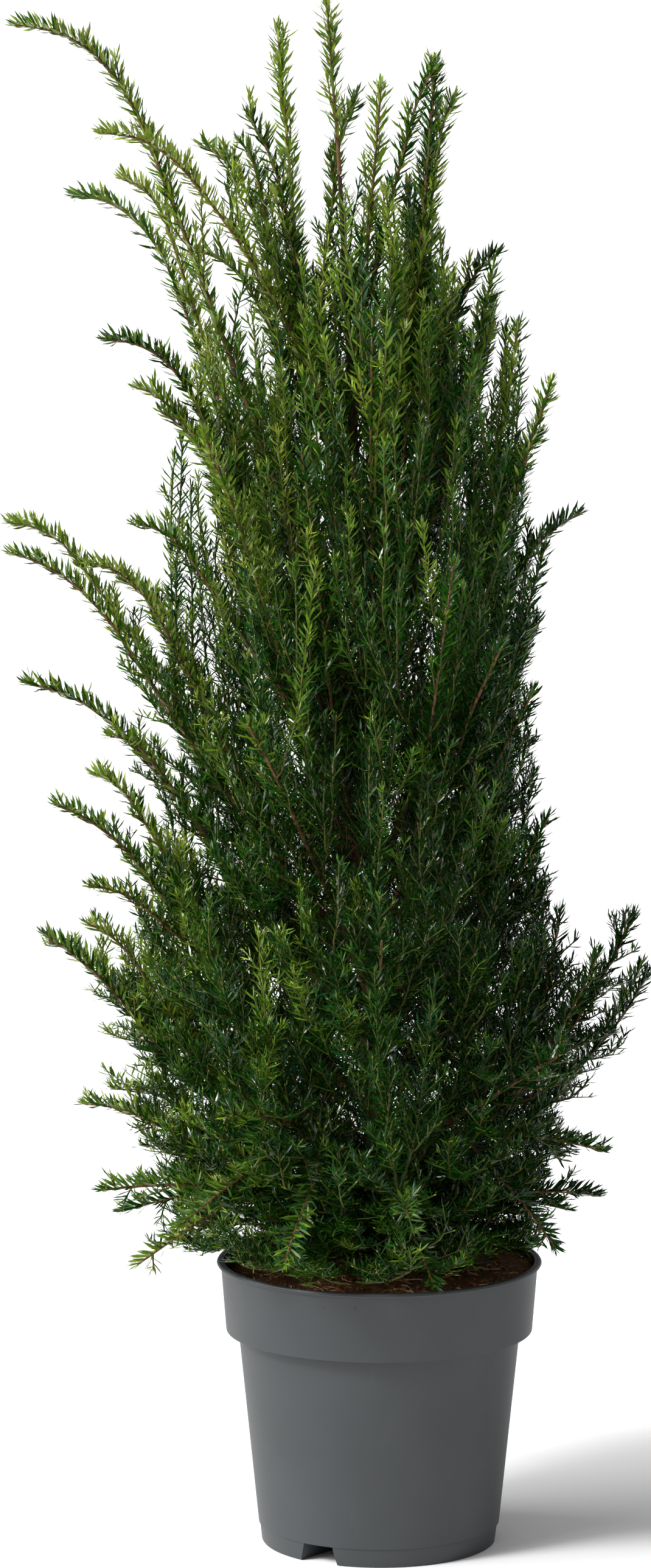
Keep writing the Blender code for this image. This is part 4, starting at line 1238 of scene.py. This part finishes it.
def soil_tree():
    """Strews copies of a thing over the peat's top, and leaves the peat itself out."""
    tree, given, result = new_tree("peat_surface", Crumb="Object", Density="Float", Smallest="Float",
                                   Largest="Float", Flatness="Float", Reach="Float",
                                   Patches="Float", Material="Material", Seed="Int")
    inputs = {0: made(tree, "GeometryNodeInputNormal")}
    upward = add_node(tree, "ShaderNodeSeparateXYZ", inputs).outputs[2]
    place = vector_calc(tree, "MULTIPLY", made(tree, "GeometryNodeInputPosition"), (1, 1, 0))
    radius = add_node(tree, "ShaderNodeVectorMath", {0: place}, operation="LENGTH").outputs["Value"]
    unwanted = calc(tree, "MAXIMUM", calc(tree, "LESS_THAN", upward, 0.4),
                    calc(tree, "GREATER_THAN", radius, given["Reach"]))
    top = add_node(tree, "GeometryNodeDeleteGeometry", {0: given["Geometry"], 1: unwanted}, domain="FACE")
    inputs = {0: top.outputs[0], 4: given["Density"], 6: given["Seed"]}
    points = add_node(tree, "GeometryNodeDistributePointsOnFaces", inputs).outputs
    crumb = add_node(tree, "GeometryNodeObjectInfo", {0: given["Crumb"]}).outputs["Geometry"]
    turns = [draw(tree, -3.1, 3.1, seed) for seed in (1, 2, 3)]
    turns[:2] = [calc(tree, "MULTIPLY", turn, given["Flatness"]) for turn in turns[:2]]
    turn = made(tree, "ShaderNodeCombineXYZ", enumerate(turns))
    size = ease(tree, draw(tree, 0.0, 1.0, 4), 0.0, 1.0, given["Smallest"], given["Largest"])
    bend = calc(tree, "MULTIPLY", size, draw(tree, 0.5, 1.6, 6))
    size = made(tree, "ShaderNodeCombineXYZ", {0: size, 1: bend, 2: size})
    patch = made(tree, "ShaderNodeTexNoise", {"Scale": 22.0, "Detail": 1.0})
    chosen = calc(tree, "GREATER_THAN", patch, given["Patches"])
    rotation = made(tree, "FunctionNodeEulerToRotation", {0: turn})
    strewn(tree, given, result, points["Points"], chosen, crumb, rotation, size)
    return tree


def rough(point, size):
    """A few crossing waves that stand for clods; each turns with its size."""
    total = 0.0
    for k in range(1, 6):
        turn = GOLDEN * k
        along = point[0] * math.cos(turn) + point[1] * math.sin(turn)
        total += math.sin(along * (60 + 47 * k) + k * k) / k
    return size * total


soil = baked(turned("peat", soil_profile(), PEAT))
for vert in soil.data.vertices:
    radius = math.hypot(vert.co.x, vert.co.y)
    if vert.co.z > SOIL_LEVEL - GAP and radius > LEVEL_ROUND_TRUNK:
        azimuth = math.atan2(vert.co.y, vert.co.x)
        vert.co.z += SOIL_HEAP * math.cos(azimuth - HEAP_AZIMUTH) * radius / LIP_RADIUS
        vert.co.z += 0.0015 * math.sin(5 * azimuth + 60 * radius) + rough(vert.co, 0.0011)
soil.data.shade_smooth()
finished(soil, "peat", "soil")


def lump_mesh(name, detail, uneven):
    """An uneven ball of radius 1."""
    mesh = made_mesh(name, bmesh.ops.create_icosphere, subdivisions=detail, radius=1.0)
    for vert in mesh.vertices:
        vert.co *= 1 + uneven * math.sin(5 * vert.co.x + 3) * math.sin(4 * vert.co.y + 7 * vert.co.z)
        vert.co.z *= 0.7
    return mesh


def fibre_mesh():
    """A bent strand one unit long, three-sided."""
    points = []
    faces = []
    for k in range(7):
        share = k / 6
        middle = (share - 0.5, 0.16 * math.sin(3.0 * share), 0.05 * math.sin(4.2 * share))
        for corner in range(3):
            turn = 2 * math.pi * corner / 3
            points.append((middle[0], middle[1] + FIBRE_RADIUS * math.cos(turn),
                           middle[2] + FIBRE_RADIUS * math.sin(turn)))
    for base in range(0, len(points) - 3, 3):
        for corner in range(3):
            after = (corner + 1) % 3
            faces.append((base + corner, base + after, base + 3 + after, base + 3 + corner))
    mesh = bpy.data.meshes.new("fibre")
    mesh.from_pydata(points, [], faces)
    return mesh


SOIL_TREE = soil_tree()
crumb = new_object("crumb", lump_mesh("crumb", 1, 0.25))
fibre = new_object("fibre", fibre_mesh())
fallen = new_object("fallen_needle", needle_mesh())
LITTER = (
    ("peat_crumbs", crumb, 9000.0, 0.0007, 0.0034, 1.0, 0.0, PEAT_CRUMBS),
    ("peat_fibres", fibre, 8000.0, 0.006, 0.030, 0.06, 0.51, STRAW),
    ("fallen_needles", fallen, 3000.0, 0.013, 0.018, 0.06, 0.0, TAN_BARK),
)
for name, thing, density, smallest, largest, flatness, patches, material in LITTER:
    piece = grown(name, soil.data.copy(), SOIL_TREE, Crumb=thing, Density=density, Smallest=smallest,
                  Largest=largest, Flatness=flatness, Reach=SOIL_EDGE - 0.4 * largest, Patches=patches,
                  Material=material, Seed=len(name))
    finished(piece, "peat")
for thing in (crumb, fibre, fallen):
    bpy.data.objects.remove(thing)

clod_mesh = lump_mesh("clod", 4, 0.18)
for vert in clod_mesh.vertices:
    vert.co *= 1 + 4.0 * rough(vert.co * 0.05, 0.05)
    vert.co = Vector(CLOD_PLACE) + vert.co * CLOD_SIZE
clod_mesh.shade_smooth()
finished(new_object("clod", clod_mesh, CLOD), "peat")

# %% [markdown]
# ## Floor and light
#
# A wide pale floor in a bright even room, and two lamps from the upper left: a very broad one,
# and a small weak one that puts a glint on the needles.

# %%
FLOOR_RADIUS = 160.0
FLOOR_LEVEL = -0.0005
ROOM_LIGHT = 0.39

floor_mesh = made_mesh("floor", bmesh.ops.create_circle, cap_ends=True, segments=96, radius=FLOOR_RADIUS)
FLOOR = new_material("pale_studio_floor", 0.9, 0.1)[0]
FLOOR.node_tree.nodes["Principled BSDF"].inputs["Base Color"].default_value = linear("#fafafa")
floor = new_object("floor", floor_mesh, FLOOR)
floor.location.z = FLOOR_LEVEL

world = bpy.data.worlds.new("bright_room")
world.use_nodes = True
world.node_tree.nodes["Background"].inputs["Color"].default_value = (1, 1, 1, 1)
world.node_tree.nodes["Background"].inputs["Strength"].default_value = ROOM_LIGHT
bpy.context.scene.world = world


def far_lamp(name, energy, angle, way):
    """A lamp at a great distance that shines along a direction and looks so many degrees wide."""
    data = bpy.data.lights.new(name, "SUN")
    data.energy = energy
    data.angle = math.radians(angle)
    item = bpy.data.objects.new(name, data)
    item.rotation_euler = Vector(way).to_track_quat("-Z", "Y").to_euler()
    bpy.context.scene.collection.objects.link(item)


far_lamp("broad_lamp", 3.5, 60, (1.60, 0.45, -1.0))
far_lamp("glint_lamp", 2.3, 14, (1.20, 0.75, -1.2))
bpy.context.scene.view_settings.view_transform = "Standard"
